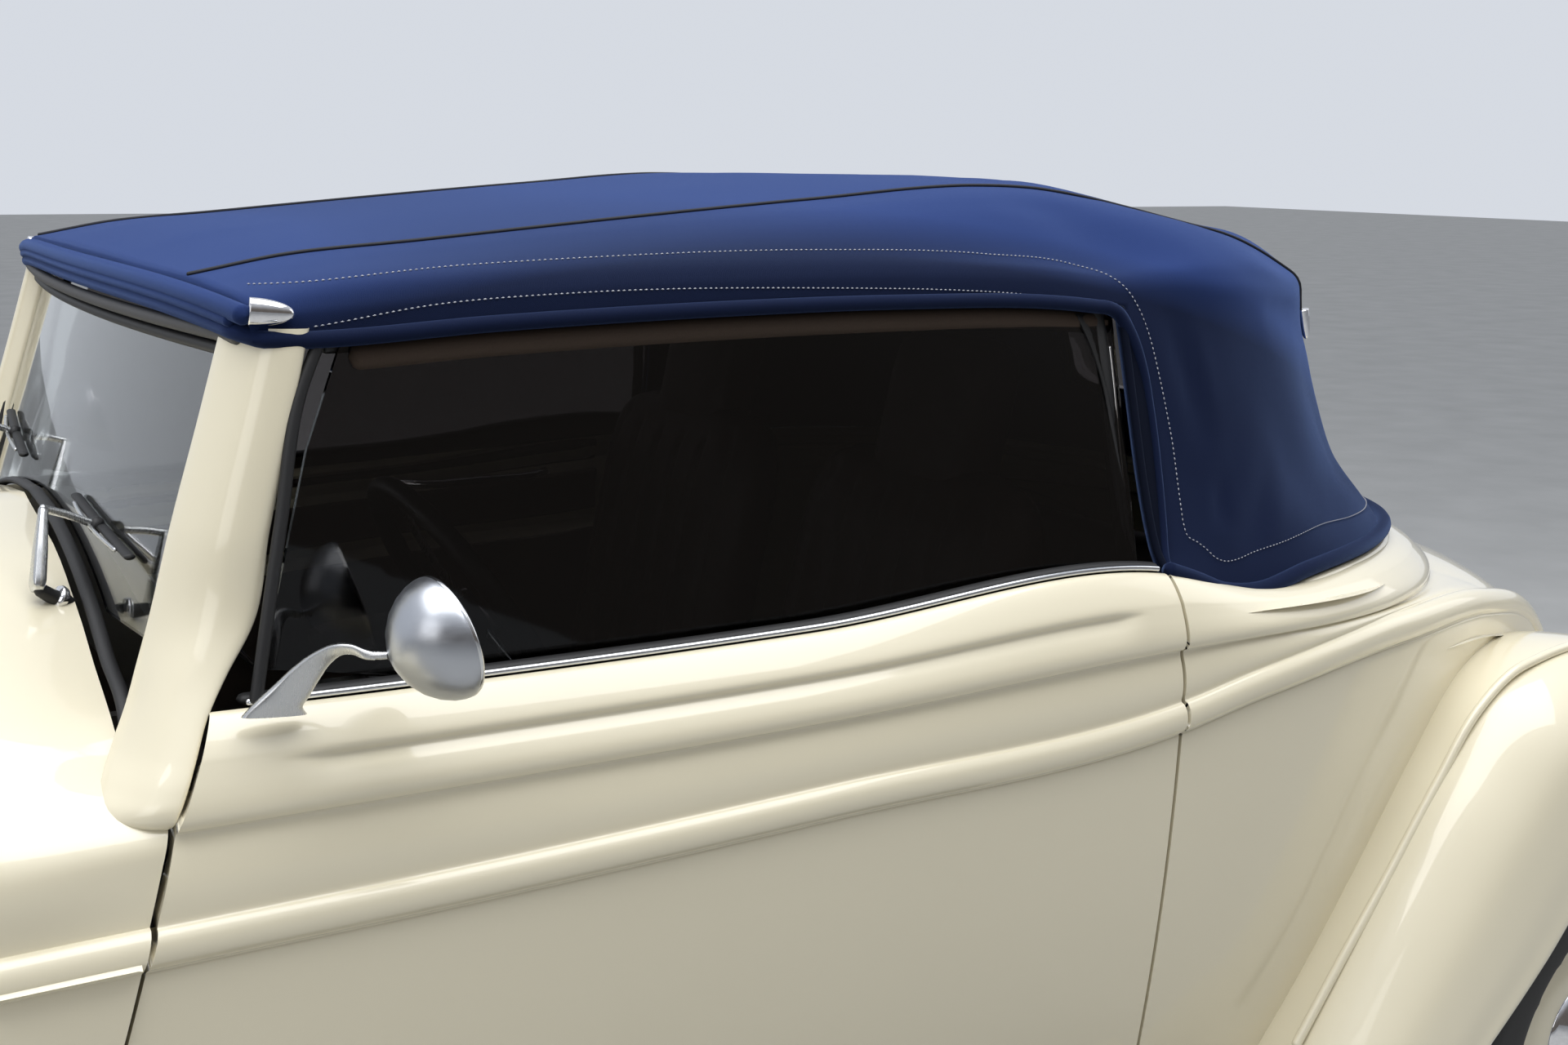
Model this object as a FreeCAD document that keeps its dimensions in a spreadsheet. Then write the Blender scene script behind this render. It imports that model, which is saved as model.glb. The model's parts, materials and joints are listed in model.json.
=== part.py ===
import FreeCAD, Part
import math
import os
from FreeCAD import Rotation, Vector

# A small pre-war style convertible with a fabric top, built as separate panels, glass, running gear and
# interior pieces. Millimetres, +X forward, +Y to the car's left, +Z up, origin on the ground under the
# middle of its box.

SIZES = [
    # alias, value, what it measures
    ("wheelbase", 2845, "front axle to rear axle"),
    ("front_axle_x", 1515, "front axle ahead of the middle of the car"),
    ("bumper_reach", 2215, "middle of the car to either bumper's face"),
    ("front_track", 1440, "between the front tyres' middles"),
    ("rear_track", 1450, "between the rear tyres' middles"),
    ("front_tyre_radius", 315, "front tyre, outside"),
    ("front_tyre_width", 195, "front tyre across the sidewalls"),
    ("rear_tyre_radius", 345, "rear tyre, outside"),
    ("rear_tyre_width", 235, "rear tyre across the sidewalls"),
    ("rim_radius", 216, "rim's bead seat on all four wheels"),
    ("hub_bore", 35, "radius of the wheel's centre bore"),
    ("body_wall", 40, "thickness of doors, cowl and quarters"),
    ("body_bottom", 370, "height of the body's lower edge"),
    ("panel_gap", 5, "gap round each opening panel"),
    ("bead_height", 38, "belt bead, across"),
    ("bead_stand", 10, "belt bead, how far it stands out"),
    ("side_crown", 11, "bulge of the lower body side"),
    ("fan_x", -680, "upright axis that the rounded tail is built around"),
    ("door_rear_x", -568, "gap behind the door"),
    ("door_swing", 11, "degrees that the door's front edge is chamfered"),
    ("hood_gap_x", 680, "gap between hood and cowl at crease height"),
    ("crease_z", 960, "height at which the raked gaps are measured"),
    ("nose_rake", 0.25, "forward lean of hood gap and grille per unit of height"),
    ("grille_x", 1690, "grille shell's rear face at crease height"),
    ("hood_crown_z", 1150, "height of the hood and cowl crown at the windscreen"),
    ("hood_fall", 0.067, "fall of the crown per unit of length"),
    ("hood_skin", 12, "thickness of the hood panels"),
    ("fender_skin", 8, "thickness of the fenders"),
    ("glass", 6, "thickness of all glass"),
    ("cloth", 14, "thickness of the padded fabric top"),
    ("lid_front_x", -1475, "front edge of the deck lid"),
    ("lid_bottom_z", 520, "lower edge of the deck lid"),
    ("lid_half", 385, "half the width of the deck lid"),
    ("rail_width", 52, "chassis rail across"),
    ("rail_height", 115, "chassis rail, upright"),
    ("floor_skin", 8, "thickness of the floor pan"),
    ("kingpin_y", 590, "kingpin from the middle of the car"),
    ("kingpin_radius", 13, "kingpin, outside"),
    ("kingpin_clearance", 0.05, "gap round the kingpin in the axle's eye"),
    ("steer_arm", 150, "kingpin to tie rod, along the car"),
    ("tie_rod_z", 235, "height of the tie rod"),
    ("steering_wheel_radius", 180, "steering wheel, to the rim's middle"),
    ("steering_wheel_rim", 13, "radius of the steering wheel's rim"),
    ("column_tilt", 30, "degrees that the steering column rises"),
    ("engine_length", 620, "engine block with its heads"),
    ("engine_width", 480, "engine block, across"),
    ("engine_height", 430, "engine block, upright"),
    ("running_board_top", 300, "height of the running board"),
    ("louvre_count", 16, "louvres in each hood side"),
    ("bar_count", 19, "upright bars in the grille"),
]

doc = FreeCAD.newDocument("convertible")
sheet = doc.addObject("Spreadsheet::Sheet", "dim")
for row, (alias, value, note) in enumerate(SIZES, 1):
    sheet.set(f"A{row}", note)
    sheet.set(f"B{row}", str(value))
    sheet.setAlias(f"B{row}", alias)
doc.recompute()


class Size:
    """A number from the sheet that also carries its expression, so that a feature can be bound to it."""

    def __init__(self, number, text):
        self.number = float(number)
        self.text = text

    def join(self, other, sign, result, turned=False):
        text = other.text if isinstance(other, Size) else repr(float(other))
        pair = (text, self.text) if turned else (self.text, text)
        return Size(result, f"({pair[0]} {sign} {pair[1]})")

    def __float__(self):
        return self.number

    def __add__(self, other):
        return self.join(other, "+", self.number + float(other))

    def __radd__(self, other):
        return self.join(other, "+", float(other) + self.number, True)

    def __sub__(self, other):
        return self.join(other, "-", self.number - float(other))

    def __rsub__(self, other):
        return self.join(other, "-", float(other) - self.number, True)

    def __mul__(self, other):
        return self.join(other, "*", self.number * float(other))

    __rmul__ = __mul__

    def __truediv__(self, other):
        return self.join(other, "/", self.number / float(other))

    def __neg__(self):
        return self * -1


class Sheet:
    """size.wheelbase is the Size in the sheet's cell of that name."""

    def __getattr__(self, alias):
        return Size(getattr(sheet, alias), f"dim.{alias}")


size = Sheet()
rear_axle_x = size.front_axle_x - size.wheelbase
crease_z = float(size.crease_z)
fan_x = float(size.fan_x)
NODES = []


def bind(thing, name, value):
    """Sets a property from a Size by expression, or from a plain number."""
    if isinstance(value, Size):
        thing.setExpression(name, value.text)
    else:
        setattr(thing, name, value)


def put(thing, x, y, z):
    """Places a document object, each coordinate bound if it is a Size."""
    thing.Placement.Base = Vector(float(x), float(y), float(z))
    for axis, value in zip("xyz", (x, y, z)):
        if isinstance(value, Size):
            thing.setExpression(f"Placement.Base.{axis}", value.text)
    return thing


def keep(thing, label):
    """Makes a document object one of the car's named pieces."""
    thing.Label = label
    NODES.append(thing)
    return thing


def piece(label, shape):
    """A piece whose shape is worked out with Part's own functions."""
    thing = doc.addObject("Part::Feature", label)
    thing.Shape = shape
    return keep(thing, label)


def line(a, b):
    return Part.LineSegment(a, b).toShape()


def arc(a, via, b):
    return Part.Arc(a, via, b).toShape()


def polygon(points):
    return Part.makePolygon(list(points) + [points[0]])


def loft(wires, ruled=False):
    return Part.makeLoft(wires, True, ruled)


def mirrored(shape):
    return shape.mirror(Vector(0, 0, 0), Vector(0, 1, 0))


def block(x0, x1, y0, y1, z0, z1):
    return Part.makeBox(x1 - x0, y1 - y0, z1 - z0, Vector(x0, y0, z0))


def rod(start, end, radius):
    return Part.makeCylinder(radius, (end - start).Length, start, end - start)


def largest(shape):
    return max(shape.Solids, key=lambda solid: solid.Volume)


def whole(shape):
    """One clean solid, or a compound where the piece really is several."""
    shape = shape.removeSplitter()
    return shape.Solids[0] if len(shape.Solids) == 1 else Part.makeCompound(shape.Solids)


def between(a, b, share):
    return a + (b - a) * share


def slab_xz(outline, y0, y1):
    """A prism whose outline is given by (x, z) points, from y0 to y1."""
    face = Part.Face(polygon([Vector(x, y0, z) for x, z in outline]))
    return face.extrude(Vector(0, y1 - y0, 0))


# Body side, door and tail: one wall section carried from the cowl round to the middle of the tail

WALL = [
    # station, sill half-width, sill height, crease half-width, height, bead half-width, height, bottom half-width
    (("x", 860), 600, 1046, 640, 950, 650, 840, 612),
    (("x", 640), 615, 1046, 660, 953, 667, 851, 620),
    (("x", 300), 647, 1048, 689, 961, 695, 866, 638),
    (("x", -100), 678, 1056, 718, 972, 721, 887, 655),
    (("x", -560), 692, 1072, 731, 990, 731, 909, 666),
    (("fan", 2), 689, 1038, 736, 993, 736, 938, 668),
    (("fan", 22), 688, 1035, 742, 987, 755, 960, 692),
    (("fan", 40), 687, 1029, 748, 980, 822, 951, 738),
    (("fan", 53), 686, 1022, 752, 974, 908, 895, 800),
    (("fan", 66), 685, 1015, 754, 969, 1040, 745, 920),
    (("fan", 78), 684, 1009, 755, 966, 1170, 600, 1080),
    (("fan", 90), 684, 1006, 755, 965, 1225, 545, 1150),
    (("fan", 102), 684, 1009, 755, 966, 1170, 600, 1080),
]
BAND_BULGE = 0.18  # how much the band under the crease swells where it becomes the deck, as a share of its chord


def stand(station):
    """A function from (half-width, height) to a point, for a cross plane or a plane fanned about the tail's axis."""
    kind, value = station
    if kind == "x":
        return lambda h, z: Vector(value, h, z)
    angle = math.radians(value)
    return lambda h, z: Vector(fan_x - h * math.sin(angle), h * math.cos(angle), z)


def push(point, before, after, distance):
    """A point of a (half-width, height) profile moved inwards, square to the chord of its neighbours."""
    dh, dz = after[0] - before[0], after[1] - before[1]
    length = math.hypot(dh, dz)
    return point[0] + dz / length * distance, point[1] - dh / length * distance


def wall_section(row, thickness, filled=False):
    station, h_sill, z_sill, h_crease, z_crease, h_bead, z_bead, h_low = row
    at = stand(station)
    half_bead = float(size.bead_height) / 2
    low = (h_low, float(size.body_bottom))
    sill, crease = (h_sill, z_sill), (h_crease, z_crease)
    chord_h, chord_z = h_bead - h_crease, z_bead - z_crease
    length = math.hypot(chord_h, chord_z)
    out_h, out_z = -chord_z / length, chord_h / length
    along_h, along_z = chord_h / length, chord_z / length
    bead_top = (h_bead - along_h * half_bead, z_bead - along_z * half_bead)
    bead_nose = (h_bead + out_h * float(size.bead_stand), z_bead + out_z * float(size.bead_stand))
    bead_foot = (h_bead - out_h * 1.0, z_bead - half_bead)
    swell = 2 + BAND_BULGE * max(0.0, length - 120)
    band = ((crease[0] + bead_top[0]) / 2 + out_h * swell, (crease[1] + bead_top[1]) / 2 + out_z * swell)
    shoulder = ((sill[0] + crease[0]) / 2 + 9, (sill[1] + crease[1]) / 2 + 7)
    middle = ((bead_foot[0] + low[0]) / 2 + float(size.side_crown), (bead_foot[1] + low[1]) / 2)
    inner_sill = (sill[0] - thickness, sill[1])
    inner_crease = push(crease, sill, band, thickness)
    inner_band = push(band, crease, bead_top, thickness)
    inner_bead = push((h_bead, z_bead), band, middle, thickness)
    inner_middle = (middle[0] - thickness, middle[1])
    inner_low = (low[0] - thickness, low[1])
    if filled:
        inner_sill, inner_low = (200, sill[1]), (200, low[1])
    p = [at(*q) for q in (sill, shoulder, crease, band, bead_top, bead_nose, bead_foot, middle, low,
                          inner_low, inner_middle, inner_bead, inner_band, inner_crease, inner_sill)]
    outside = [arc(p[0], p[1], p[2]), arc(p[2], p[3], p[4]), arc(p[4], p[5], p[6]), arc(p[6], p[7], p[8])]
    if filled:
        return Part.Wire(outside + [line(p[8], p[9]), line(p[9], p[14]), line(p[14], p[0])])
    return Part.Wire(outside + [
        line(p[8], p[9]), arc(p[9], p[10], p[11]), arc(p[11], p[12], p[13]), line(p[13], p[14]), line(p[14], p[0]),
    ])


wall = loft([wall_section(row, float(size.body_wall)) for row in WALL])
wall_fill = loft([wall_section(row, 0, True) for row in WALL])
body_fill = wall_fill.common(block(-2500, 2500, 0, 2000, 0, 2000))


def rake(z, x, slope):
    """Where a gap that leans forward going down stands at a height, if it stands at x at crease height."""
    return x + (crease_z - z) * slope


gap = float(size.panel_gap)
door_rear = float(size.door_rear_x)
hood_gap = float(size.hood_gap_x)
nose_rake = float(size.nose_rake)
COWL_RAKE = 0.15

# Door outline: the rear edge upright, the front edge raked and turned back to upright near the sill
DOOR_FRONT = [(482, 1080), (536, 960), (590, 770), (636, 600), (660, 470), (664, 412)]
# The front edge lies further back on the inside, so that the door swings clear of the cowl
swing = math.tan(math.radians(float(size.door_swing)))


def door_prism(front_shift, rear_shift, bottom):
    """The space that a door takes from the wall, wider by the shifts."""
    def outline(y):
        lean = (y - 700) * swing
        front = [Vector(x + front_shift + lean, y, z) for x, z in DOOR_FRONT[:-1]]
        front.append(Vector(DOOR_FRONT[-1][0] + front_shift + lean, y, bottom))
        top = Vector(DOOR_FRONT[0][0] - 60 + front_shift + lean, y, 1200)
        rear = [Vector(door_rear - rear_shift, y, bottom), Vector(door_rear - rear_shift, y, 1200)]
        return polygon([top] + front + rear)
    return Part.makeLoft([outline(500), outline(900)], True, True)


def ahead(x_crease, slope, shift=0.0):
    """Everything in front of a gap that leans forward going down."""
    return slab_xz([(rake(1300, x_crease, slope) + shift, 1300), (2600, 1300), (2600, 200),
                    (rake(200, x_crease, slope) + shift, 200)], -1200, 1200)


door_bottom = 412
door_left = largest(wall.common(door_prism(0, -gap / 2, door_bottom)))
door_hole = door_prism(gap, gap / 2, door_bottom - gap)
rest = wall.cut(door_hole).cut(ahead(hood_gap, COWL_RAKE))
rest = rest.common(block(-2600, 2600, 0, 1200, 0, 2000))
rest = largest(rest)
cowl_side = largest(rest.common(block(560, 1200, 0, 1200, 420, 1300)))
rocker = largest(rest.common(block(door_rear - gap / 2, 1200, 0, 1200, 300, 420)))
quarter = rest.common(block(-2600, door_rear - gap / 2, 0, 1200, 300, 1300))

# Wheel space, cut through the quarter behind the fender
wheel_space = float(size.rear_tyre_radius) + 50
rear_x = float(rear_axle_x)
front_x = float(size.front_axle_x)
rear_z = float(size.rear_tyre_radius)
front_z = float(size.front_tyre_radius)
tub = rod(Vector(rear_x, 540, rear_z), Vector(rear_x, 1000, rear_z), wheel_space + 10)
axle_notch = block(rear_x - 70, rear_x + 70, 300, 700, 300, 430)
quarter = largest(quarter.cut(tub).cut(axle_notch))

# The tail panel is the part of the wall behind a straight joint; the deck lid comes out of it
lid_x, lid_half, lid_bottom = float(size.lid_front_x), float(size.lid_half), float(size.lid_bottom_z)
tail_edge = -1480.0
tail_half = wall.cut(ahead(tail_edge, 0)).common(block(-2600, tail_edge, 0, 1200, 300, 1300)).cut(tub)
tail_half = largest(tail_half)
quarter = largest(quarter.common(ahead(tail_edge, 0)))
tail = largest(tail_half.fuse(mirrored(tail_half)))
lid_space = block(-2600, lid_x - 30 + gap, -lid_half - gap, lid_half + gap, lid_bottom - gap, 1300)
lid = largest(tail.common(block(-2600, lid_x - 30, -lid_half, lid_half, lid_bottom, 1300)))
tail = largest(tail.cut(lid_space))

door_left = door_left.removeSplitter()
piece("door_left", door_left)
piece("door_right", mirrored(door_left))
piece("quarter_left", quarter)
piece("quarter_right", mirrored(quarter))
piece("tail_panel", tail)
piece("deck_lid", lid)

# Cowl top: a dome from crease to crease, under the windscreen

COWL = [
    # x, crease half-width, height, shoulder half-width, height, crown height
    (860, 628, 952, 405, 1050, 1138),
    (680, 650, 953, 438, 1058, 1150),
    (580, 658, 955, 445, 1054, 1149),
    (440, 668, 958, 450, 1050, 1146),
]


def dome(row, inset):
    x, h_crease, z_crease, h_side, z_side, z_top = row
    h0, z0 = h_crease - inset, z_crease - 30
    h1, z1 = h_side - inset * 0.7, z_side - inset * 0.7
    hm, zm = (h0 + h1) / 2 + 24, (z0 + z1) / 2 + 26
    top = z_top - inset
    return Part.Wire([
        line(Vector(x, -h0, z0), Vector(x, h0, z0)),
        arc(Vector(x, h0, z0), Vector(x, hm, zm), Vector(x, h1, z1)),
        arc(Vector(x, h1, z1), Vector(x, 0, top), Vector(x, -h1, z1)),
        arc(Vector(x, -h1, z1), Vector(x, -hm, zm), Vector(x, -h0, z0)),
    ])


cowl_fill = loft([dome(row, 0) for row in COWL])
cowl_inner = loft([dome(row, 14) for row in COWL])

# The pane leans back and bows forward in the middle
SCREEN_SLOPE = 0.324
SCREEN_BOW = 30
SCREEN_FOOT = 548


def screen_x(z, y=530.0):
    """The pane's front face at a height and distance from the middle."""
    return SCREEN_FOOT - (z - 1022) * SCREEN_SLOPE + SCREEN_BOW * (1 - (y / 530.0) ** 2)


def screen_slab(z, half, front, back):
    """A level section between two shifts behind the pane's face; a back of None runs to the rear of the cabin."""
    ends = [Vector(screen_x(z, half) - front, y, z) for y in (-half, half)]
    face = arc(ends[0], Vector(screen_x(z, 0) - front, 0, z), ends[1])
    if back is None:
        far = [Vector(-600, y, z) for y in (half, -half)]
        return Part.Wire([face, line(ends[1], far[0]), line(far[0], far[1]), line(far[1], ends[0])])
    rear = [Vector(screen_x(z, half) - back, y, z) for y in (-half, half)]
    return Part.Wire([face, line(ends[1], rear[1]), arc(rear[1], Vector(screen_x(z, 0) - back, 0, z), rear[0]),
                      line(rear[0], ends[0])])


behind_glass = loft([screen_slab(z, 560, 22, None) for z in (900, 1300)], True)
cowl_top = cowl_fill.cut(cowl_inner).cut(ahead(hood_gap, COWL_RAKE)).cut(behind_glass)
door_room = door_hole.fuse(mirrored(door_hole))
cowl_top = largest(cowl_top.cut(door_room))
cowl = whole(cowl_top.fuse([cowl_side, mirrored(cowl_side)]))
piece("cowl", largest(cowl))

# Windscreen: two raked posts, a header and the pane between them

POST = [
    # height, front x, rear x, inner y at the front, outer y at the rear
    (962, 628, 500, 560, 650),
    (1030, 560, 468, 536, 612),
    (1110, 530, 447, 532, 606),
    (1240, 488, 420, 528, 602),
    (1352, 455, 388, 524, 598),
]


def post_section(row):
    z, x_front, x_rear, y_in, y_out = row
    nose = Vector(x_front, y_in + 12, z)
    return Part.Wire([
        arc(nose, Vector(between(x_front, x_rear, 0.35), between(y_in, y_out, 0.84), z), Vector(x_rear, y_out, z)),
        line(Vector(x_rear, y_out, z), Vector(x_rear + 4, y_in + 20, z)),
        line(Vector(x_rear + 4, y_in + 20, z), Vector(x_front - 16, y_in, z)),
        line(Vector(x_front - 16, y_in, z), nose),
    ])


post = loft([post_section(row) for row in POST])
post = largest(post.cut(cowl_fill).cut(body_fill))
header = loft([screen_slab(z, 560, -2, 46) for z in (1352, 1396)], True)
frame = whole(header.fuse([post, mirrored(post)]))
piece("windscreen_frame", frame)

pane_t = float(size.glass)
pane = loft([screen_slab(z, 532, 12, 12 + pane_t) for z in (1000, 1360)], True)
pane = largest(pane.cut(frame).cut(cowl_fill).cut(body_fill).cut(mirrored(body_fill)))
piece("windscreen_glass", pane)

# Hood: one skin split into fixed sides and two panels hinged on the middle line

HOOD = [
    # x, lower half-width, widest half-width, its height, shoulder half-width, height
    (640, 618, 662, 868, 446, 1060),
    (900, 560, 596, 858, 392, 1045),
    (1150, 455, 490, 850, 326, 1026),
    (1400, 330, 362, 842, 254, 1004),
    (1680, 214, 238, 832, 176, 980),
]
hood_fall = float(size.hood_fall)
hood_low = 520


def crown_z(x):
    return float(size.hood_crown_z) - (x - 680) * hood_fall


def hood_section(row, inset):
    x, h_low, h_wide, z_wide, h_side, z_side = row
    low = (h_low - inset, hood_low)
    wide = (h_wide - inset, z_wide)
    side = (h_side - inset * 0.75, z_side - inset * 0.7)
    top = crown_z(x) - inset
    p = [Vector(x, y, z) for y, z in (
        low, ((low[0] + wide[0]) / 2 + 8, (low[1] + wide[1]) / 2), wide,
        ((wide[0] + side[0]) / 2 + 36, (wide[1] + side[1]) / 2 + 30), side)]
    q = [Vector(v.x, -v.y, v.z) for v in p]
    return Part.Wire([
        line(q[0], p[0]), arc(p[0], p[1], p[2]), arc(p[2], p[3], p[4]), arc(p[4], Vector(x, 0, top), q[4]),
        arc(q[4], q[3], q[2]), arc(q[2], q[1], q[0]),
    ])


skin = float(size.hood_skin)
hood_fill = loft([hood_section(row, 0) for row in HOOD])
hood_shell = hood_fill.cut(loft([hood_section(row, skin) for row in HOOD]))
hood_whole = hood_shell
hood_room = ahead(hood_gap + gap, COWL_RAKE).cut(ahead(float(size.grille_x) - gap, nose_rake))
hood_shell = hood_shell.common(hood_room)
split_low, split_fall = 905, 0.03


def split_z(x, shift=0.0):
    return split_low - (x - 680) * split_fall + shift


def under_split(shift):
    return slab_xz([(400, split_z(400, shift)), (2200, split_z(2200, shift)), (2200, 400), (400, 400)], -1200, 1200)


side_skin = hood_whole.common(under_split(0)).cut(ahead(float(size.grille_x) - 0.3, nose_rake))
side_skin = side_skin.common(ahead(hood_gap + gap, COWL_RAKE))
side_left = largest(side_skin.common(block(0, 3000, 0, 1200, 0, 2000)))
top_skin = hood_shell.cut(under_split(gap))
hood_left = largest(top_skin.common(block(0, 3000, gap / 2, 1200, 0, 2000)))
louvre_space = []
count = int(size.louvre_count.number)
for index in range(count):
    x = 800 + index * 38
    slot = slab_xz([(x, 680), (x + 9, 680), (x - 13, 830), (x - 22, 830)], 200, 900)
    louvre_space.append(slot)
side_left = largest(side_left.cut(Part.makeCompound(louvre_space)))
piece("hood_left", hood_left)
piece("hood_right", mirrored(hood_left))

# A fine rod on the middle line carries both hood panels
hinge_z = 4.0
hinge_a = Vector(649.3, 0, crown_z(649.3) + hinge_z)
hinge_b = Vector(1524, 0, crown_z(1524) + hinge_z)
piece("hood_hinge", rod(hinge_a, hinge_b, 4.4))

# Grille shell and its bars

SHIELD = [(0, 385), (120, 388), (206, 600), (238, 832), (176, 980)]


def shield(x_crease, shrink, lift=0.0):
    """The nose outline on a raked plane, smaller by the shrink."""
    top = crown_z(x_crease) - shrink
    pts = [(0, 385 + shrink + lift), (120 - shrink, 388 + shrink + lift), (206 - shrink, 600), (238 - shrink, 832),
           (176 - shrink * 0.8, 980 - shrink * 0.8)]
    p = [Vector(rake(z, x_crease, nose_rake), y, z) for y, z in pts]
    q = [Vector(v.x, -v.y, v.z) for v in p]
    a = Vector(rake(720, x_crease, nose_rake), 226 - shrink, 720)
    b = Vector(rake(918, x_crease, nose_rake), 219 - shrink, 918)
    c = Vector(rake(top, x_crease, nose_rake), 0, top)
    flip = [Vector(v.x, -v.y, v.z) for v in (a, b)]
    return Part.Wire([
        line(q[1], p[1]), line(p[1], p[2]), arc(p[2], a, p[3]), arc(p[3], b, p[4]), arc(p[4], c, q[4]),
        arc(q[4], flip[1], q[3]), arc(q[3], flip[0], q[2]), line(q[2], q[1]),
    ])


grille_x = float(size.grille_x)
shell_out = loft([shield(grille_x, 0), shield(grille_x + 70, 6), shield(grille_x + 105, 24)])
opening = loft([shield(grille_x - 20, 46), shield(grille_x + 130, 62)])
grille_shell = largest(shell_out.cut(opening))
piece("grille_shell", grille_shell)

bar_count = int(size.bar_count.number)
pitch = 2 * 190.0 / bar_count
bars = []
for index in range(bar_count):
    y = (index - (bar_count - 1) / 2) * pitch
    bars.append(slab_xz([(rake(1150, grille_x + 56, nose_rake), 1150), (rake(1150, grille_x + 74, nose_rake), 1150),
                         (rake(380, grille_x + 74, nose_rake), 380), (rake(380, grille_x + 56, nose_rake), 380)],
                        y - 3, y + 3))
spine = [slab_xz([(rake(z + 8, grille_x + 44, nose_rake), z + 8), (rake(z + 8, grille_x + 57, nose_rake), z + 8),
                  (rake(z - 8, grille_x + 57, nose_rake), z - 8), (rake(z - 8, grille_x + 44, nose_rake), z - 8)],
                 -200, 200) for z in (500, 680, 860)]
bar_pack = bars[0].fuse(bars[1:] + spine)
bar_pack = bar_pack.common(loft([shield(grille_x - 20, 46.2), shield(grille_x + 130, 62.2)]))
piece("grille_bars", whole(bar_pack))

# Fenders: skins carried along the crown line of each wheel

FRONT_FENDER = [
    # crown x, crown z, crown's tilt, inner y and its drop, crown y, outer y and its drop
    (2050, 300, -4, 520, 60, 690, 808, 78),
    (1992, 532, 27, 498, 66, 702, 848, 92),
    (1810, 710, 60, 480, 60, 706, 862, 96),
    (1560, 778, 85, 466, 54, 706, 866, 98),
    (1330, 748, 108, 470, 52, 706, 866, 98),
    (1120, 636, 126, 500, 46, 710, 866, 84),
    (960, 486, 133, 560, 30, 716, 864, 58),
    (850, 374, 126, 600, 14, 724, 862, 34),
    (748, 316, 100, 626, 5, 736, 862, 17),
]
REAR_FENDER = [
    (-708, 296, 30, 600, 16, 736, 850, 92),
    (-770, 406, 33, 600, 18, 736, 853, 126),
    (-850, 530, 35, 600, 20, 736, 857, 168),
    (-930, 650, 36, 600, 20, 737, 860, 196),
    (-1020, 776, 42, 580, 24, 737, 860, 210),
    (-1110, 868, 58, 560, 26, 737, 860, 216),
    (-1250, 905, 82, 540, 34, 730, 860, 214),
    (-1420, 880, 102, 480, 52, 712, 860, 196),
    (-1620, 786, 120, 400, 96, 680, 852, 176),
    (-1800, 640, 136, 340, 130, 640, 836, 160),
    (-1930, 470, 151, 340, 130, 610, 812, 140),
    (-1996, 320, 163, 380, 100, 600, 790, 110),
]


def fender_section(row, skin_t, bulge):
    x, z, tilt, y_in, d_in, y_top, y_out, d_out = row
    n = (math.cos(math.radians(tilt)), math.sin(math.radians(tilt)))

    def at(y, drop):
        return Vector(x - n[0] * drop, y, z - n[1] * drop)
    m_in = ((y_in + y_top) / 2, d_in * 0.25)
    m_out = (between(y_top, y_out, bulge), d_out * 0.3)
    outer = [at(y_in, d_in), at(*m_in), at(y_top, 0), at(*m_out), at(y_out, d_out)]
    t = skin_t
    inner = [at(y_in, d_in + t), at(m_in[0], m_in[1] + t), at(y_top, t), at(m_out[0] - t * 0.6, m_out[1] + t * 0.8),
             at(y_out - t, d_out)]
    return Part.Wire([
        arc(*outer[:3]), arc(*outer[2:]), line(outer[4], inner[4]), arc(inner[4], inner[3], inner[2]),
        arc(inner[2], inner[1], inner[0]), line(inner[0], outer[0]),
    ])


fender_t = float(size.fender_skin)
front_fender = loft([fender_section(row, fender_t, 0.78) for row in FRONT_FENDER])
front_fender = largest(front_fender.cut(body_fill))
rear_fender = loft([fender_section(row, fender_t, 0.8) for row in REAR_FENDER])
rear_fender = largest(rear_fender.cut(body_fill).cut(quarter).cut(tail).cut(lid_space))

# Apron between the front fender, the hood side and the frame
APRON = [(1860, 592, 492), (1780, 655, 486), (1556, 721, 472), (1346, 695, 476), (1147, 596, 506)]
apron = []
for x, z, y in APRON:
    apron.append(polygon([Vector(x, y, z), Vector(x, y - 6, z + 7), Vector(x, 326, 455), Vector(x, 326, 446.3),
                          Vector(x, 334, 446.3)]))
apron = loft(apron, True)
side_left = largest(side_left.cut(apron))
piece("hood_side_left", side_left)
piece("hood_side_right", mirrored(side_left))
front_fender = whole(front_fender.fuse(apron))
piece("front_fender_left", front_fender)
piece("front_fender_right", mirrored(front_fender))
piece("rear_fender_left", rear_fender)
piece("rear_fender_right", mirrored(rear_fender))

board_top = float(size.running_board_top)
board = block(-716, 742, 645, 850, board_top - 16, board_top)
board = board.fuse(block(-716, 742, 640, 648, board_top - 16, 372))
board = largest(board.cut(front_fender).cut(rear_fender).cut(body_fill))
piece("running_boards", Part.makeCompound([board, mirrored(board)]))

# Frame, floor and firewall

rail_w, rail_h = float(size.rail_width), float(size.rail_height)
RAIL = [(1880, 352), (1700, 330), (-760, 330), (-1000, 430), (-1490, 430), (-1490, 500), (-1450, 535),
        (-1040, 535), (-800, 446), (1700, 446), (1880, 430)]
rail_y = 300
rail = slab_xz(RAIL, rail_y, rail_y + rail_w)
crosses = [block(x - 38, x + 38, -rail_y - 1, rail_y + 1, z, z + 57.6)
           for x, z in ((1742, 330), (620, 345), (-600, 345), (-1100, 440))]
crosses += [block(-1980, -1460, s * 326 - 14, s * 326 + 14, 346, 364).fuse(
    block(-1490, -1460, s * 326 - 14, s * 326 + 14, 346, 440)) for s in (-1, 1)]
crosses.append(block(1770, 1866, -105, 105, 378, 386))
frame_rails = whole(rail.fuse([mirrored(rail)] + crosses))
piece("frame_rails", frame_rails)

floor_t = float(size.floor_skin)


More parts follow.
